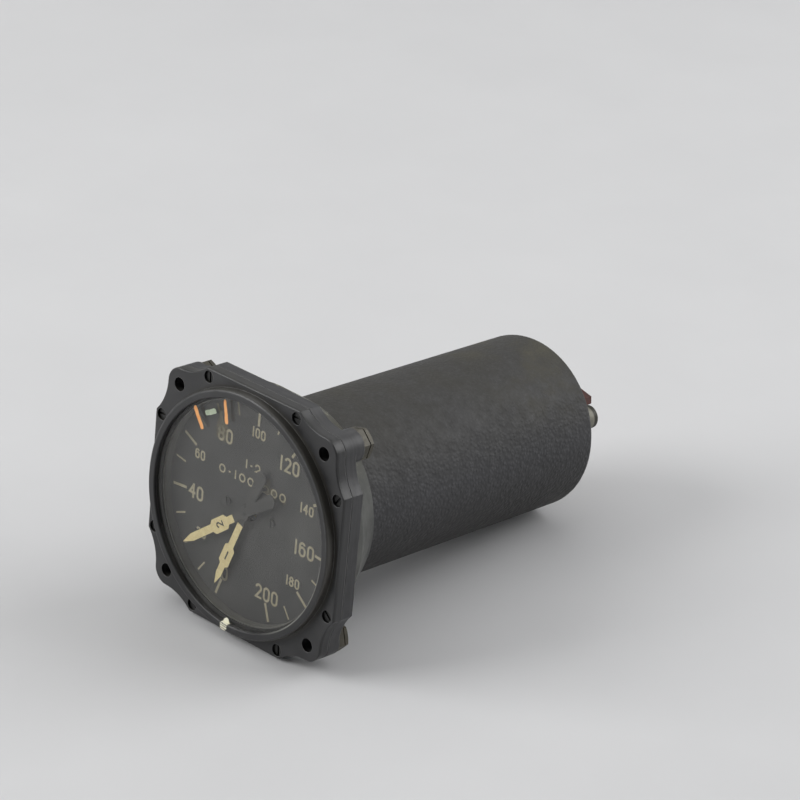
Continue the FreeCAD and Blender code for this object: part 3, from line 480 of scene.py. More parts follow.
# Where wear, grime, dust, painted shade and painted highlights fade in, in metres: from none to all of it
FOOT_INNER_FADE = (0.0389, 0.0392)
FOOT_OUTER_FADE = (0.0406, 0.0397)
FOOT_DUST_AND_LIGHT_FADE = (0.004, 0.026)
CREST_RADIUS = 0.03868
CREST_HALF = 0.00036
CREST_HIGHLIGHT_HEIGHT_FADE = (-0.012, 0.012)
SIDE_BAND_START_FADE = (0.00015, 0.00025)
SIDE_BAND_END_FADE = (0.0012, 0.0009)
LIP_FADE = (0.03725, 0.03700)
LIP_LOW_FADE = (0.002, -0.006)
LIP_RIGHT_FADE = (0.014, 0.026)
DUST_RIGHT_FADE = (-0.028, 0.030)
CONE_DEPTH_FADE = (0.0084, 0.0098)
CONE_RADIUS_FADE = (0.0400, 0.0395)
CONE_REAR_FADE = (0.0135, 0.0225)
CONE_LOW_FADE = (0.010, -0.006)
CAN_REAR_FADE = (0.085, 0.118)

# Edges: how far a bevelled normal agrees with the surface's own, from no wear to full wear
EDGE_FADE = (0.99, 0.80)
EDGE_SAMPLES = 6
ROUNDING_SAMPLES = 4

# Scale of the fine streaks that run round the paint of the flange
STREAK_SCALE = (45.0, 1500.0, 45.0)

# Roughness of every luminous or hand-painted mark
LUMINOUS_ROUGHNESS = 0.75


# Materials
class Shader:
    """One material and short calls for the nodes that it is made of."""

    def __init__(self, name):
        self.material = bpy.data.materials.new(name)
        self.material.use_nodes = True
        self.tree = self.material.node_tree
        self.surface = self.tree.nodes["Principled BSDF"]
        coordinates = self.tree.nodes.new("ShaderNodeTexCoord")
        self.place = coordinates.outputs["Object"]

    def link(self, source, target):
        self.tree.links.new(source, target)

    def set(self, name, value):
        self.surface.inputs[name].default_value = value

    def feed(self, name, source):
        self.link(source, self.surface.inputs[name])

    def scaled_place(self, scale):
        mapping = self.tree.nodes.new("ShaderNodeMapping")
        mapping.inputs["Scale"].default_value = scale
        self.link(self.place, mapping.inputs["Vector"])
        return mapping.outputs["Vector"]

    def noise(self, scale, detail=3.0, roughness=0.55, place=None):
        node = self.tree.nodes.new("ShaderNodeTexNoise")
        node.inputs["Scale"].default_value = scale
        node.inputs["Detail"].default_value = detail
        node.inputs["Roughness"].default_value = roughness
        self.link(place or self.place, node.inputs["Vector"])
        return node.outputs["Fac"]

    def cells(self, scale):
        node = self.tree.nodes.new("ShaderNodeTexVoronoi")
        node.feature = "SMOOTH_F1"
        node.inputs["Scale"].default_value = scale
        node.inputs["Smoothness"].default_value = 0.6
        self.link(self.place, node.inputs["Vector"])
        return node.outputs["Distance"]

    def ramp(self, source, low, high, start=0.0, end=1.0):
        """Map a value from low..high to start..end, held at both ends."""
        node = self.tree.nodes.new("ShaderNodeMapRange")
        node.inputs["From Min"].default_value = low
        node.inputs["From Max"].default_value = high
        node.inputs["To Min"].default_value = start
        node.inputs["To Max"].default_value = end
        self.link(source, node.inputs["Value"])
        return node.outputs["Result"]

    def patches(self, scale, detail, low, high, start=0.0, end=1.0, roughness=0.55):
        """Noise whose values from low to high are mapped to start..end."""
        return self.ramp(self.noise(scale, detail, roughness), low, high, start, end)

    def streaked(self, paint, colour):
        """Fine streaks of a colour over a paint."""
        streaks = self.noise(1.0, 3.0, 0.6, self.scaled_place(STREAK_SCALE))
        return self.blend(self.ramp(streaks, 0.45, 0.62, end=0.6), paint, colour)

    def math(self, operation, first, second):
        """Join two values, each a plain number or a node's output."""
        node = self.tree.nodes.new("ShaderNodeMath")
        node.operation = operation
        for socket, value in zip(node.inputs, (first, second)):
            if isinstance(value, float):
                socket.default_value = value
            else:
                self.link(value, socket)
        return node.outputs["Value"]

    def blend(self, share, first, second):
        """Mix two colours, each a plain colour or a node's output."""
        node = self.tree.nodes.new("ShaderNodeMix")
        node.data_type = "RGBA"
        self.link(share, node.inputs["Factor"])
        for name, value in (("A", first), ("B", second)):
            socket = [s for s in node.inputs if s.name == name and s.type == "RGBA"][0]
            if isinstance(value, tuple):
                socket.default_value = (value[0], value[1], value[2], 1.0)
            else:
                self.link(value, socket)
        return [s for s in node.outputs if s.type == "RGBA"][0]

    def layered(self, share, first, second):
        """Mix two whole surfaces."""
        node = self.tree.nodes.new("ShaderNodeMixShader")
        self.link(share, node.inputs["Fac"])
        self.link(first, node.inputs[1])
        self.link(second, node.inputs[2])
        return node.outputs["Shader"]

    def stained(self, paint, stains, olive):
        """Paint with ragged stains, each given as its x, z, half width, half height and strength."""
        for x, z, width, height, strength in stains:
            spot = self.spot(x * MM, z * MM, width * MM, height * MM)
            paint = self.blend(self.math("MULTIPLY", spot, strength), paint, olive)
        return paint

    def axis(self, name):
        """One component of a point's place, in metres."""
        node = self.tree.nodes.new("ShaderNodeSeparateXYZ")
        self.link(self.place, node.inputs["Vector"])
        return node.outputs[name]

    def radius(self):
        """Distance from the instrument's axis, in metres."""
        square_x = self.math("MULTIPLY", self.axis("X"), self.axis("X"))
        square_z = self.math("MULTIPLY", self.axis("Z"), self.axis("Z"))
        return self.math("SQRT", self.math("ADD", square_x, square_z), 0.0)

    def facing(self, name):
        """One component of the surface's own direction."""
        geometry = self.tree.nodes.new("ShaderNodeNewGeometry")
        node = self.tree.nodes.new("ShaderNodeSeparateXYZ")
        self.link(geometry.outputs["Normal"], node.inputs["Vector"])
        return node.outputs[name]

    def edges(self, radius):
        """Near 1 along sharp edges and near 0 elsewhere."""
        geometry = self.tree.nodes.new("ShaderNodeNewGeometry")
        bevel = self.tree.nodes.new("ShaderNodeBevel")
        bevel.samples = EDGE_SAMPLES
        bevel.inputs["Radius"].default_value = radius
        dot = self.tree.nodes.new("ShaderNodeVectorMath")
        dot.operation = "DOT_PRODUCT"
        self.link(geometry.outputs["Normal"], dot.inputs[0])
        self.link(bevel.outputs["Normal"], dot.inputs[1])
        return self.ramp(dot.outputs["Value"], *EDGE_FADE)

    def band(self, source, middle, half_width):
        """1 near the middle of a band, falling to 0 at half its width on either side."""
        away = self.math("ABSOLUTE", self.math("SUBTRACT", source, middle), 0.0)
        return self.ramp(away, half_width, 0.3 * half_width)

    def spot(self, x, z, width, height):
        """1 at a place on the dial, in metres, falling raggedly to 0 around it."""
        offset_x = self.math("DIVIDE", self.math("SUBTRACT", self.axis("X"), x), width)
        offset_z = self.math("DIVIDE", self.math("SUBTRACT", self.axis("Z"), z), height)
        square_x = self.math("MULTIPLY", offset_x, offset_x)
        square_z = self.math("MULTIPLY", offset_z, offset_z)
        ragged = self.patches(700.0, 3.0, 0.3, 0.7, start=-0.45, end=0.45)
        return self.ramp(self.math("ADD", self.math("ADD", square_x, square_z), ragged), 1.1, 0.3)

    def bump(self, source, strength, distance, rounding=0.0):
        """Raise the surface by a height, over edges that are rounded by a radius in metres."""
        node = self.tree.nodes.new("ShaderNodeBump")
        node.inputs["Strength"].default_value = strength
        node.inputs["Distance"].default_value = distance
        self.link(source, node.inputs["Height"])
        if rounding > 0.0:
            bevel = self.tree.nodes.new("ShaderNodeBevel")
            bevel.samples = ROUNDING_SAMPLES
            bevel.inputs["Radius"].default_value = rounding
            self.link(bevel.outputs["Normal"], node.inputs["Normal"])
        self.feed("Normal", node.outputs["Normal"])


def bezel_paint():
    """Satin black enamel, rubbed and painted lighter as a highlight at its edges and along the top of the
    ring, with grime and painted shade where the ring meets the plate, dust and painted light there on the
    right, a black band on the sides behind the front edge, and bare metal with a painted highlight on the
    lip at lower right.
    """
    shader = Shader("bezel_paint")
    radius = shader.radius()
    base = shader.blend(shader.patches(90.0, 4.0, 0.35, 0.7), ENAMEL_DARK, ENAMEL_LIGHT)
    streaked = shader.streaked(base, ENAMEL_STREAK)
    past_ring = shader.ramp(radius, *FOOT_INNER_FADE)
    foot = shader.math("MULTIPLY", past_ring, shader.ramp(radius, *FOOT_OUTER_FADE))
    # grime and painted shade: the ring's foot is darkened and browned where it meets the plate
    grimy = shader.blend(shader.math("MULTIPLY", foot, 0.6), streaked, FOOT_GRIME_AND_SHADE)
    # dust and painted light: towards the right the ring's foot is painted lighter and brown
    right_side = shader.ramp(shader.axis("X"), *FOOT_DUST_AND_LIGHT_FADE, end=0.85)
    dusty_lit_foot = shader.blend(shader.math("MULTIPLY", foot, right_side), grimy, FOOT_DUST_AND_LIGHT)
    rubbed = shader.patches(260.0, 3.0, 0.35, 0.60, start=0.3)
    # painted highlight: a pale band along the top of the ring's outer round, on the upper half only; the
    # edges are worn and painted lighter as a highlight too
    crest_highlight_share = shader.ramp(shader.axis("Z"), *CREST_HIGHLIGHT_HEIGHT_FADE, end=0.26)
    crest = shader.math("MULTIPLY", shader.band(radius, CREST_RADIUS, CREST_HALF), crest_highlight_share)
    edges = shader.math("MAXIMUM", shader.edges(radius=0.0004), crest)
    wear = shader.math("MULTIPLY", edges, rubbed)
    worn_and_highlit = shader.blend(shader.math("MULTIPLY", wear, 0.8), dusty_lit_foot, WORN_EDGE_AND_HIGHLIGHT)
    # a black band on the sides, from just behind the front edge
    past_edge = shader.ramp(shader.axis("Y"), *SIDE_BAND_START_FADE, end=0.9)
    behind_edge = shader.math("MULTIPLY", past_edge, shader.ramp(shader.axis("Y"), *SIDE_BAND_END_FADE))
    lined = shader.blend(behind_edge, worn_and_highlit, SIDE_BAND_BLACK)
    # bare metal and a painted highlight: the lip's inner edge is pale only at the lower right
    lip = shader.ramp(radius, *LIP_FADE)
    low = shader.ramp(shader.axis("Z"), *LIP_LOW_FADE)
    lower_right = shader.math("MULTIPLY", low, shader.ramp(shader.axis("X"), *LIP_RIGHT_FADE))
    bare_and_highlit_lip = shader.math("MULTIPLY", lip, lower_right)
    lip_bare_and_highlit = shader.blend(shader.math("MULTIPLY", bare_and_highlit_lip, 0.9), lined, BARE_METAL_AND_HIGHLIGHT)
    upward = shader.ramp(shader.facing("Z"), 0.4, 1.0, end=0.45)
    left_share = shader.ramp(shader.axis("X"), *DUST_RIGHT_FADE, start=1.0, end=0.05)
    settled = shader.math("MULTIPLY", shader.math("MULTIPLY", upward, left_share), rubbed)
    shader.feed("Base Color", shader.blend(settled, lip_bare_and_highlit, SETTLED_DUST))
    shader.feed("Roughness", shader.patches(180.0, 3.0, 0.3, 0.7, start=0.34, end=0.46))
    shader.bump(shader.noise(900.0, 3.0), strength=0.10, distance=0.00006, rounding=0.0003)
    return shader.material


def casting_paint():
    """Dark enamel on the flange, and thin grey paint on the cone behind it, darker low down towards the can,
    grimy and chipped on top.
    """
    shader = Shader("casting_paint")
    radius = shader.radius()
    paint = shader.blend(shader.patches(120.0, 4.0, 0.35, 0.7), CASTING_DARK, CASTING_LIGHT)
    thin = shader.blend(shader.patches(140.0, 5.0, 0.3, 0.7), CONE_DARK, CONE_LIGHT)
    edge_waver = shader.patches(150.0, 4.0, 0.3, 0.7, start=-0.001, end=0.001)
    on_cone = shader.ramp(shader.math("ADD", shader.axis("Y"), edge_waver), *CONE_DEPTH_FADE)
    behind = shader.math("MULTIPLY", on_cone, shader.ramp(radius, *CONE_RADIUS_FADE))
    streaked = shader.streaked(paint, CASTING_STREAK)
    # darker low down towards the can
    rear_waver = shader.patches(260.0, 4.0, 0.3, 0.7, start=-0.002, end=0.002)
    rear = shader.ramp(shader.math("ADD", shader.axis("Y"), rear_waver), *CONE_REAR_FADE)
    low = shader.ramp(shader.axis("Z"), *CONE_LOW_FADE)
    towards_can = shader.math("MULTIPLY", rear, low)
    low_rear_darker = shader.blend(towards_can, thin, CONE_LOW_REAR)
    body = shader.blend(behind, streaked, low_rear_darker)
    upward = shader.ramp(shader.facing("Z"), 0.40, 0.75)
    grimy = shader.blend(shader.math("MULTIPLY", upward, behind), body, CONE_GRIME)
    flecks = shader.patches(420.0, 4.0, 0.57, 0.63, end=0.8, roughness=0.65)
    chips = shader.math("MULTIPLY", shader.math("MULTIPLY", upward, flecks), behind)
    chipped = shader.blend(chips, grimy, CREAM_CHIP)
    rubbed = shader.patches(220.0, 3.0, 0.4, 0.6, end=0.6)
    wear = shader.math("MULTIPLY", shader.edges(radius=0.0005), rubbed)
    shader.feed("Base Color", shader.blend(wear, chipped, BARE_METAL_AND_HIGHLIGHT))
    shader.feed("Roughness", shader.patches(200.0, 3.0, 0.3, 0.7, start=0.36, end=0.55))
    shader.bump(shader.noise(900.0, 3.0), strength=0.16, distance=0.00008, rounding=0.0003)
    return shader.material


def can_paint():
    """Black crinkle enamel: a fine pebbled skin whose pebble tops are painted lighter as a highlight,
    painted shade underneath, olive dust and painted shade on top, scuffed near the rear.
    """
    shader = Shader("can_paint")
    pebbles = shader.ramp(shader.cells(880.0), 0.05, 0.70, start=1.0, end=0.0)
    fine = shader.noise(1900.0, 2.0)
    base = shader.blend(shader.patches(55.0, 4.0, 0.3, 0.7), CAN_DARK, CAN_LIGHT)
    # painted highlight: the pebble tops are lighter than the hollows
    uneven = shader.patches(330.0, 3.0, 0.32, 0.68, start=0.1)
    pebble_highlit = shader.blend(shader.math("MULTIPLY", pebbles, uneven), base, CAN_PEBBLE_HIGHLIGHT)
    facing_up = shader.facing("Z")
    # painted shade: the underside is darker
    under = shader.ramp(facing_up, 0.15, -0.55, end=0.8)
    grimy = shader.blend(under, pebble_highlit, CAN_UNDERSIDE_SHADE)
    # olive dust and painted shade: darker on top
    patches = shader.patches(38.0, 5.0, 0.32, 0.68, start=0.3, roughness=0.6)
    top_dust_and_shade = shader.math("MULTIPLY", shader.ramp(facing_up, 0.15, 0.95, end=0.9), patches)
    dusty = shader.blend(top_dust_and_shade, grimy, CAN_TOP_DUST_AND_SHADE)
    scuffs = shader.patches(75.0, 6.0, 0.47, 0.66, start=0.05, end=0.6, roughness=0.68)
    near_rear = shader.ramp(shader.axis("Y"), *CAN_REAR_FADE)
    rear_top = shader.math("MULTIPLY", near_rear, shader.ramp(facing_up, 0.30, 0.70))
    scuffed = shader.math("MULTIPLY", scuffs, rear_top)
    shader.feed("Base Color", shader.blend(scuffed, dusty, CAN_SCUFF))
    shader.feed("Roughness", shader.patches(300.0, 3.0, 0.3, 0.7, start=0.58, end=0.72))
    height = shader.math("ADD", pebbles, shader.math("MULTIPLY", fine, 0.35))
    shader.bump(height, strength=0.8, distance=0.00022)
    return shader.material


def metal_paint(name, dark, light, metallic, rough, grain, black_from=None):
    """A metal with blotches, scratches and brighter edges, and black behind a given depth if one is set."""
    shader = Shader(name)
    body = shader.blend(shader.patches(grain, 4.0, 0.32, 0.68), dark, light)
    bright = tuple(min(1.0, 1.5 * value) for value in light)
    wear = shader.math("MULTIPLY", shader.edges(radius=0.0003), shader.patches(400.0, 2.0, 0.35, 0.6))
    colour = shader.blend(wear, body, bright)
    if black_from is not None:
        rear_band = shader.ramp(shader.axis("Y"), black_from, black_from + BLACK_BAND_FADE)
        colour = shader.blend(rear_band, colour, NUT_REAR_BLACK)
    shader.feed("Base Color", colour)
    shader.set("Metallic", metallic)
    shader.feed("Roughness", shader.patches(grain * 3.0, 3.0, 0.3, 0.7, start=rough - 0.08, end=rough + 0.1))
    shader.bump(shader.noise(grain * 6.0, 3.0), strength=0.15, distance=0.00004)
    return shader.material


def dial_paint():
    """Matt black dial, gone a little grey in patches, with olive stains of old paint and painted shadows of
    the orange marks on the glass.
    """
    shader = Shader("dial_paint")
    base = shader.blend(shader.patches(70.0, 4.0, 0.3, 0.7), DIAL_DARK, DIAL_LIGHT)
    shader.feed("Base Color", shader.stained(base, DIAL_STAINS_AND_SHADOWS, DIAL_OLIVE))
    shader.feed("Roughness", shader.patches(120.0, 3.0, 0.3, 0.7, start=0.68, end=0.8))
    return shader.material


def spacer_paint():
    """Grey paint on the ring between glass and dial."""
    shader = Shader("spacer_paint")
    base = shader.blend(shader.patches(160.0, 4.0, 0.3, 0.7), SPACER_DARK, SPACER_LIGHT)
    shader.feed("Base Color", base)
    shader.feed("Roughness", shader.patches(240.0, 3.0, 0.3, 0.7, start=0.5, end=0.7))
    shader.bump(shader.noise(700.0, 3.0), strength=0.1, distance=0.00005)
    return shader.material


def pointer_paint():
    """Matt black paint on the pointers, under the luminous paint."""
    shader = Shader("pointer_paint")
    base = shader.blend(shader.patches(300.0, 3.0, 0.35, 0.65), POINTER_DARK, POINTER_LIGHT)
    shader.feed("Base Color", base)
    shader.set("Roughness", 0.62)
    shader.bump(shader.noise(2500.0, 2.0), strength=0.1, distance=0.00003)
    return shader.material


def luminous_paint(name, pale, dull, stains=()):
    """Old luminous paint: patchy colour, pits, and olive stains at the places given."""
    shader = Shader(name)
    base = shader.blend(shader.patches(420.0, 5.0, 0.36, 0.64, roughness=0.65), dull, pale)
    pits = shader.patches(2100.0, 2.0, 0.64, 0.72, end=0.5)
    pitted = shader.blend(pits, base, tuple(0.45 * value for value in dull))
    shader.feed("Base Color", shader.stained(pitted, stains, PRINT_OLIVE))
    shader.set("Roughness", LUMINOUS_ROUGHNESS)
    shader.bump(shader.noise(1800.0, 3.0), strength=0.3, distance=0.00006)
    return shader.material


def window_glass():
    """Thin pane: clear, with a soft reflection that grows at steep angles, and a faint film of dust."""
    shader = Shader("window_glass")
    nodes = shader.tree.nodes
    nodes.remove(shader.surface)
    clear = nodes.new("ShaderNodeBsdfTransparent")
    clear.inputs["Color"].default_value = GLASS_CLEAR
    shine = nodes.new("ShaderNodeBsdfGlossy")
    shine.inputs["Roughness"].default_value = GLASS_ROUGHNESS
    film = nodes.new("ShaderNodeBsdfDiffuse")
    film.inputs["Color"].default_value = GLASS_FILM
    facing = nodes.new("ShaderNodeLayerWeight")
    facing.inputs["Blend"].default_value = GLASS_FACING_BLEND
    steep = shader.math("POWER", facing.outputs["Facing"], GLASS_STEEPNESS)
    reflection = shader.ramp(steep, 0.0, 1.0, start=GLASS_LEAST_REFLECTION)
    dust = shader.patches(60.0, 5.0, 0.35, 0.75, start=0.006, end=0.035, roughness=0.5)
    dusty = shader.layered(dust, clear.outputs["BSDF"], film.outputs["BSDF"])
    pane = shader.layered(reflection, dusty, shine.outputs["BSDF"])
    shader.link(pane, nodes["Material Output"].inputs["Surface"])
    return shader.material


def rubber_finish(name, dark, light):
    shader = Shader(name)
    shader.feed("Base Color", shader.blend(shader.patches(250.0, 3.0, 0.3, 0.7), dark, light))
    shader.set("Roughness", 0.8)
    shader.bump(shader.noise(2200.0, 2.0), strength=0.2, distance=0.00005)
    return shader.material


def phenolic_finish():
    """Dark red laminate with long streaks."""
    shader = Shader("phenolic_finish")
    streaks = shader.noise(1.0, 4.0, 0.6, shader.scaled_place((240.0, 900.0, 900.0)))
    shader.feed("Base Color", shader.blend(shader.ramp(streaks, 0.3, 0.7), PHENOLIC_DARK, PHENOLIC_LIGHT))
    shader.feed("Roughness", shader.patches(300.0, 3.0, 0.3, 0.7, start=0.35, end=0.55))
    shader.bump(shader.noise(1800.0, 3.0), strength=0.12, distance=0.00004)
    return shader.material


def floor_finish():
    shader = Shader("floor_finish")
    shader.feed("Base Color", shader.blend(shader.patches(14.0, 4.0, 0.3, 0.7), FLOOR_DARK, FLOOR_LIGHT))
    shader.set("Roughness", 0.9)
    shader.bump(shader.noise(420.0, 3.0), strength=0.05, distance=0.0002)
    return shader.material


# Metals: name, darker and lighter colour, how metallic, roughness, scale of the grain, start of a black band
# at the back
METALS = (
    ("dark_steel", (0.014, 0.014, 0.014), (0.026, 0.026, 0.025), 0.2, 0.40, 420.0),
    ("steel", (0.32, 0.32, 0.31), (0.46, 0.46, 0.45), 1.0, 0.34, 300.0),
    ("aluminium", (0.48, 0.48, 0.48), (0.62, 0.62, 0.62), 1.0, 0.36, 260.0),
    ("brass", (0.38, 0.27, 0.10), (0.55, 0.40, 0.17), 1.0, 0.34, 300.0),
    ("nut_brass", (0.046, 0.041, 0.029), (0.078, 0.070, 0.050), 0.25, 0.42, 420.0),
    ("dark_nut", (0.030, 0.027, 0.018), (0.058, 0.052, 0.036), 0.2, 0.45, 420.0),
    ("case_nut", (0.165, 0.160, 0.130), (0.245, 0.237, 0.192), 0.2, 0.45, 420.0, CASE_NUT_BLACK_DEPTH),
    ("copper", (0.42, 0.16, 0.08), (0.60, 0.26, 0.14), 1.0, 0.38, 400.0),
)
MATERIALS = {
    "bezel_paint": bezel_paint(),
    "casting_paint": casting_paint(),
    "can_paint": can_paint(),
    "dial_paint": dial_paint(),
    "spacer_paint": spacer_paint(),
    "pointer_paint": pointer_paint(),
    "rubber": rubber_finish("rubber_finish", (0.018, 0.018, 0.018), (0.032, 0.031, 0.030)),
    # paint over the rubber and painted light: the gasket is lighter than rubber, standing in for light in
    # the shaded gap it sits in
    "rubber_paint_and_painted_light": rubber_finish("rubber_paint_and_painted_light", (0.080, 0.080, 0.082), (0.150, 0.150, 0.152)),
    "glass": window_glass(),
    **{metal[0]: metal_paint(*metal) for metal in METALS},
    "phenolic": phenolic_finish(),
}

# Material of each node by the start of its name: the first that fits is taken
NODE_SLOTS = (
    ("bezel_gasket", "rubber_paint_and_painted_light"),
    ("bezel_screw", "dark_steel"),
    ("bezel", "bezel_paint"),
    ("cover_glass", "glass"),
    ("glass_gasket", "rubber"),
    ("spacer_ring", "spacer_paint"),
    ("dial_plate", "dial_paint"),
    ("dial_screw", "dark_steel"),
    ("flange_casting", "casting_paint"),
    ("case_can", "can_paint"),
    ("mounting_nut_4", "dark_nut"),
    ("mounting_nut", "nut_brass"),
    ("tie_rod", "steel"),
    ("case_nut", "case_nut"),
    ("terminal_strip", "phenolic"),
    ("terminal_screw", "brass"),
    ("front_plate", "aluminium"),
    ("rear_plate", "aluminium"),
    ("left_pointer", "pointer_paint"),
    ("right_pointer", "pointer_paint"),
    ("left_shaft", "dark_steel"),
    ("right_shaft", "dark_steel"),
)

# Material of the inner nodes by a part of their name
INNER_SLOTS = (
    ("motor_shell", "aluminium"),
    ("motor_bell", "aluminium"),
    ("stator_core", "steel"),
    ("stator_winding", "copper"),
    ("motor_bushing", "brass"),
    ("brush_block", "phenolic"),
    ("rotor_core", "steel"),
    ("slip_rings", "brass"),
)


def slot_of(node):
    for start, slot in NODE_SLOTS:
        if node.startswith(start):
            return slot
    for part, slot in INNER_SLOTS:
        if part in node:
            return slot
    return "steel"


def dress_nodes():
    for name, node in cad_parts.items():
        for slot in node.material_slots:
            slot.material = MATERIALS[slot_of(name)]


# Dial
def make_dial_marks(material):
    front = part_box("dial_plate")[0].y / MM
    top = front - PRINT_HEIGHT
    parts = []
    for pressure in range(0, FULL_SCALE + 1, MINOR_STEP):
        major = pressure % MAJOR_STEP == 0
        inner = MAJOR_INNER if major else MINOR_INNER
        width = MAJOR_WIDTH if major else MINOR_WIDTH
        angle = psi_angle(pressure)
        path = []
        for radius in (inner, TICK_OUTER):
            x, z = polar(radius, angle)
            path.append((x + TICK_CENTRE[0], z + TICK_CENTRE[1]))
        add_stroke(parts, path, width, False, top, front)
    for text, x, z, height, stroke in DIAL_NUMBERS:
        add_number(parts, text, x, z, height, stroke, top, front)
    for text, x, z, height, stroke, stretch in DIAL_ROWS:
        add_number(parts, text, x, z, height, stroke, top, front, stretch=stretch)
    finish_piece(joined_object("dial_markings", parts), material, CASE)


# Pointers
def turned_outline(outline, degrees):
    turn = math.radians(degrees)
    return [
        (x * math.cos(turn) + z * math.sin(turn), -x * math.sin(turn) + z * math.cos(turn))
        for x, z in outline
    ]


def blade_outline(start, arm_width, tip_start, tip, box_start, box_end, box_width, taper):
    """Outline of the paint on a pointer that points straight down."""
    half_arm = 0.5 * arm_width - PAINT_INSET
    half_box = 0.5 * box_width - PAINT_INSET
    right = [
        (half_arm, -start),
        (half_arm, -box_start + taper),
        (half_box, -box_start),
        (half_box, -box_end),
        (half_arm, -box_end - taper),
        (half_arm, -tip_start),
        (BLADE_TIP_HALF, -tip + BLADE_TIP_INSET),
    ]
    left = [(-x, z) for x, z in reversed(right)]
    return right + left


def make_pointer_paint(node, angle, blade, body, material):
    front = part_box(node)[0].y / MM
    parts = []
    add_slab(parts, turned_outline(blade_outline(**blade), angle), front - PAINT_HEIGHT, front)
    finish_piece(joined_object(node + "_luminous", parts), material, body)


def make_pointer_number(node, angle, text, radius, body, material):
    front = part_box(node)[0].y / MM - PAINT_HEIGHT
    x, z = polar(radius, angle)
    parts = []
    add_number(
        parts, text, x, z, POINTER_NUMBER_HEIGHT, POINTER_NUMBER_STROKE,
        front - POINTER_NUMBER_RISE, front, 180.0 - angle,
    )
    finish_piece(joined_object(node + "_number", parts), material, body)


def make_pointers(paint, ink):
    make_pointer_paint("left_pointer", LEFT_ANGLE, LEFT_BLADE, LEFT, paint)
    make_pointer_paint("right_pointer", RIGHT_ANGLE, RIGHT_BLADE, RIGHT, paint)
    make_pointer_number("left_pointer", LEFT_ANGLE, "1", LEFT_NUMBER_RADIUS, LEFT, ink)
    make_pointer_number("right_pointer", RIGHT_ANGLE, "2", RIGHT_NUMBER_RADIUS, RIGHT, ink)


# Marks painted by hand on the glass
def hand_stroke(start, end, start_width, end_width, phase):
    """Outline of one brush stroke, with slightly uneven sides and round ends."""
    heading = (Vector(end) - Vector(start)).normalized()
    side = Vector((-heading.y, heading.x))
    left = []
    right = []
    for index in range(STROKE_STEPS + 1):
        share = index / STROKE_STEPS
        middle = Vector(start).lerp(Vector(end), share)
        width = start_width + (end_width - start_width) * share
        rounding = min(1.0, STROKE_END_SHARE + STROKE_END_RATE * min(share, 1.0 - share))
        slow = SLOW_WAVER * math.sin(SLOW_WAVER_PACE * share + phase)
        uneven = slow + FAST_WAVER * math.sin(FAST_WAVER_PACE * share + 2.0 * phase)
        half = 0.5 * width * rounding
        out = side * (half + uneven)
        back = side * (half - uneven)
        left.append((middle.x + out.x, middle.y + out.y))
        right.append((middle.x - back.x, middle.y - back.y))
    return left + right[::-1]


def make_range_marks(name, strokes, paint):
    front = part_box("cover_glass")[0].y / MM
    parts = []
    for stroke in strokes:
        add_slab(parts, hand_stroke(*stroke), front - GLASS_PAINT_HEIGHT, front)
    finish_piece(joined_object(name, parts), paint, CASE)


# Slip mark
def rounded_depth(crest, rounding, past):
    """Depth of a rounded edge at a distance past the start of its rounding."""
    return crest + rounding - math.sqrt(max(0.0, rounding ** 2 - past ** 2))


def ring_depth(radius):
    """Depth of the glass or of the ring's front at a distance from the axis."""
    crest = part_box("bezel")[0].y / MM
    inner_end = RING_LIP_RADIUS + RING_INNER_ROUND
    outer_start = RING_OUTER_RADIUS - RING_OUTER_ROUND
    if radius < RING_LIP_RADIUS:
        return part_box("cover_glass")[0].y / MM
    if radius < inner_end:
        return rounded_depth(crest, RING_INNER_ROUND, inner_end - radius)
    if radius < outer_start:
        return crest
    return rounded_depth(crest, RING_OUTER_ROUND, min(RING_OUTER_ROUND, radius - outer_start))


def slip_rows():
    """Distances from the axis at which the slip mark is cut into rows, each with its depth."""
    radii = [SLIP_START + (SLIP_END - SLIP_START) * index / SLIP_STEPS for index in range(SLIP_STEPS + 1)]
    radii += [RING_LIP_RADIUS - LIP_STEP, RING_LIP_RADIUS]
    return [(radius, ring_depth(radius)) for radius in sorted(radii)]


def make_slip_mark(white):
    rows = slip_rows()
    middle_radius = 0.5 * (SLIP_START + SLIP_END)
    reach = 0.5 * (SLIP_END - SLIP_START)
    vertices = []
    for radius, depth in rows:
        across = (radius - middle_radius) / reach
        blunt = SLIP_INNER_BLUNT if across < 0.0 else SLIP_OUTER_BLUNT
        oval = max(SLIP_END_SHARE, 1.0 - abs(across) ** blunt) ** 0.5
        left = 0.5 * SLIP_WIDTH * (oval + SLIP_LEFT_WAVER * math.sin(SLIP_LEFT_PACE * radius))
        right = 0.5 * SLIP_WIDTH * (oval + SLIP_RIGHT_WAVER * math.sin(SLIP_RIGHT_PACE * radius + 1.0))
        middle = SLIP_X + SLIP_LEAN * (radius - middle_radius)
        at_lip = abs(radius - RING_LIP_RADIUS) < 2.0 * LIP_STEP
        inward = radius - (GLASS_PAINT_HEIGHT if at_lip else 0.0)
        for column in range(SLIP_COLUMNS + 1):
            x = middle - left + (left + right) * column / SLIP_COLUMNS
            z = -math.sqrt(inward ** 2 - x ** 2)
            vertices.append((x, depth - GLASS_PAINT_HEIGHT, z))
    faces = []
    row_length = SLIP_COLUMNS + 1
    for index in range(len(rows) - 1):
        centre = 0.5 * (rows[index][0] + rows[index + 1][0])
        for column in range(SLIP_COLUMNS):
            ragged = centre + SLIP_CRACK_WAVER * math.sin(SLIP_CRACK_PACE * column + centre)
            if any(abs(ragged - crack) < SLIP_CRACK_HALF for crack in SLIP_CRACKS):
                continue
            start = index * row_length + column
            faces.append((start, start + 1, start + row_length + 1, start + row_length))
    finish_piece(mesh_object("slip_mark", vertices, faces), white, CASE)


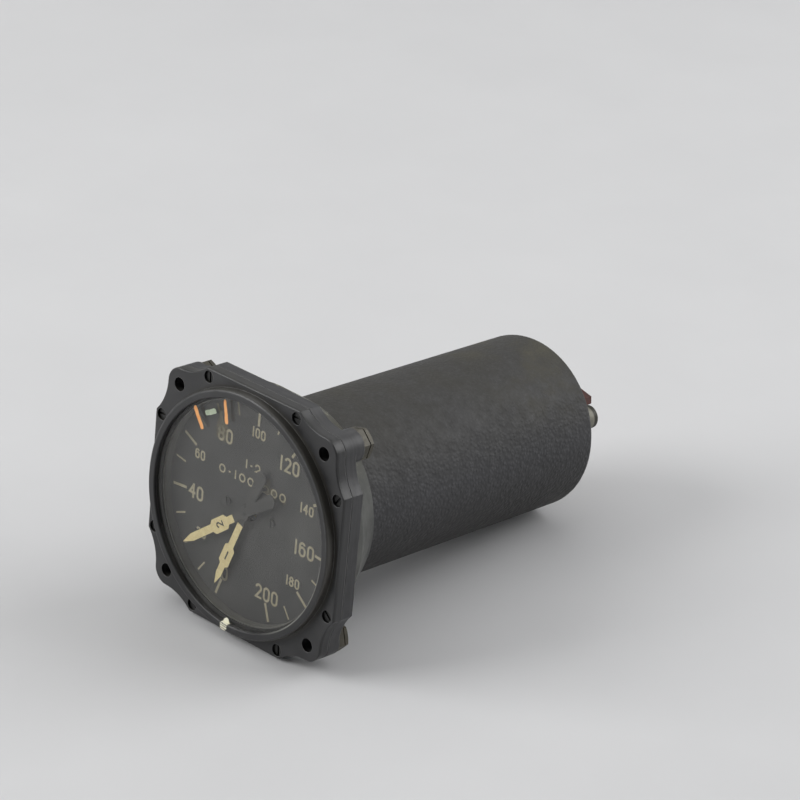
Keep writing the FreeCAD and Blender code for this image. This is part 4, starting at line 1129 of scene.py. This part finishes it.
# Floor, lights and camera
def floor_tilt():
    """Angle of a floor that touches the flange's lower edge and the can's rear.

    The can is round, so its width tells how low it reaches.
    """
    flange_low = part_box("bezel")[0].z / MM
    can_low = -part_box("case_can")[1].x / MM
    return math.atan2(can_low - flange_low, CAN_REAR_CONTACT - FLANGE_BACK_DEPTH)


def make_floor(material):
    mesh = bpy.data.meshes.new("floor")
    signs = ((-1, -1), (1, -1), (1, 1), (-1, 1))
    mesh.from_pydata([(x * FLOOR_HALF, y * FLOOR_HALF, 0.0) for x, y in signs], [], [(0, 1, 2, 3)])
    mesh.materials.append(material)
    floor = bpy.data.objects.new("floor", mesh)
    tilt = floor_tilt()
    floor.rotation_euler = (tilt, 0.0, 0.0)
    up = Vector((0.0, -math.sin(tilt), math.cos(tilt)))
    contact = Vector((0.0, FLANGE_BACK_DEPTH * MM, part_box("bezel")[0].z))
    floor.location = contact - up * FLOOR_GAP
    bpy.context.scene.collection.objects.link(floor)


def add_area_light(name, place, width, power, colour):
    data = bpy.data.lights.new(name, "AREA")
    data.shape = "RECTANGLE"
    data.size = width
    data.size_y = width
    data.energy = power
    data.color = colour
    light = bpy.data.objects.new(name, data)
    light.location = place
    heading = Vector(LAMP_TARGET) - Vector(place)
    light.rotation_euler = heading.to_track_quat("-Z", "Y").to_euler()
    bpy.context.scene.collection.objects.link(light)


def make_room():
    """A room that looks brighter to the camera and in reflections than the light that it gives."""
    world = bpy.data.worlds.new("studio")
    world.use_nodes = True
    nodes = world.node_tree.nodes
    links = world.node_tree.links
    background = nodes["Background"]
    background.inputs["Color"].default_value = ROOM_COLOUR
    rays = nodes.new("ShaderNodeLightPath")
    reflected = nodes.new("ShaderNodeMath")
    reflected.operation = "MAXIMUM"
    links.new(rays.outputs["Is Glossy Ray"], reflected.inputs[0])
    links.new(rays.outputs["Is Transmission Ray"], reflected.inputs[1])
    unseen = nodes.new("ShaderNodeMapRange")
    unseen.inputs["To Min"].default_value = ROOM_LIGHT
    unseen.inputs["To Max"].default_value = ROOM_REFLECTED
    links.new(reflected.outputs["Value"], unseen.inputs["Value"])
    strength = nodes.new("ShaderNodeMapRange")
    strength.inputs["To Max"].default_value = ROOM_SEEN
    links.new(rays.outputs["Is Camera Ray"], strength.inputs["Value"])
    links.new(unseen.outputs["Result"], strength.inputs["To Min"])
    links.new(strength.outputs["Result"], background.inputs["Strength"])
    bpy.context.scene.world = world


def make_camera():
    data = bpy.data.cameras.new("photo_camera")
    data.lens = CAMERA_LENS
    data.sensor_width = CAMERA_SENSOR
    camera = bpy.data.objects.new("photo_camera", data)
    right = Vector(CAMERA_RIGHT)
    up = -Vector(CAMERA_DOWN)
    back = -Vector(CAMERA_FORWARD)
    camera.matrix_world = Matrix((
        (right.x, up.x, back.x, CAMERA_PLACE[0]),
        (right.y, up.y, back.y, CAMERA_PLACE[1]),
        (right.z, up.z, back.z, CAMERA_PLACE[2]),
        (0.0, 0.0, 0.0, 1.0),
    ))
    bpy.context.scene.collection.objects.link(camera)
    bpy.context.scene.camera = camera


bpy.context.scene.view_settings.view_transform = "Standard"
make_camera()
for lamp in LAMPS:
    add_area_light(*lamp)
make_room()
make_floor(floor_finish())
dress_nodes()
# the numbers' stains include painted shadows of the orange marks over the ticks beside them
numeral_paint = luminous_paint("numeral_paint", (0.41, 0.37, 0.26), (0.31, 0.28, 0.185), PRINT_STAINS_AND_SHADOWS)
pointer_cream = luminous_paint("pointer_cream", (0.80, 0.685, 0.36), (0.68, 0.56, 0.28))
pointer_ink = luminous_paint("pointer_ink", (0.060, 0.052, 0.035), (0.045, 0.040, 0.028))
orange_paint = luminous_paint("orange_paint", (0.91, 0.48, 0.20), (0.84, 0.36, 0.125))
green_paint = luminous_paint("green_paint", (0.48, 0.54, 0.41), (0.34, 0.41, 0.29))
white_paint = luminous_paint("white_paint", (0.97, 0.95, 0.80), (0.84, 0.81, 0.63))
make_dial_marks(numeral_paint)
make_pointers(pointer_cream, pointer_ink)
make_range_marks("orange_range_marks", ORANGE_STROKES, orange_paint)
make_range_marks("green_range_mark", GREEN_STROKES, green_paint)
make_slip_mark(white_paint)
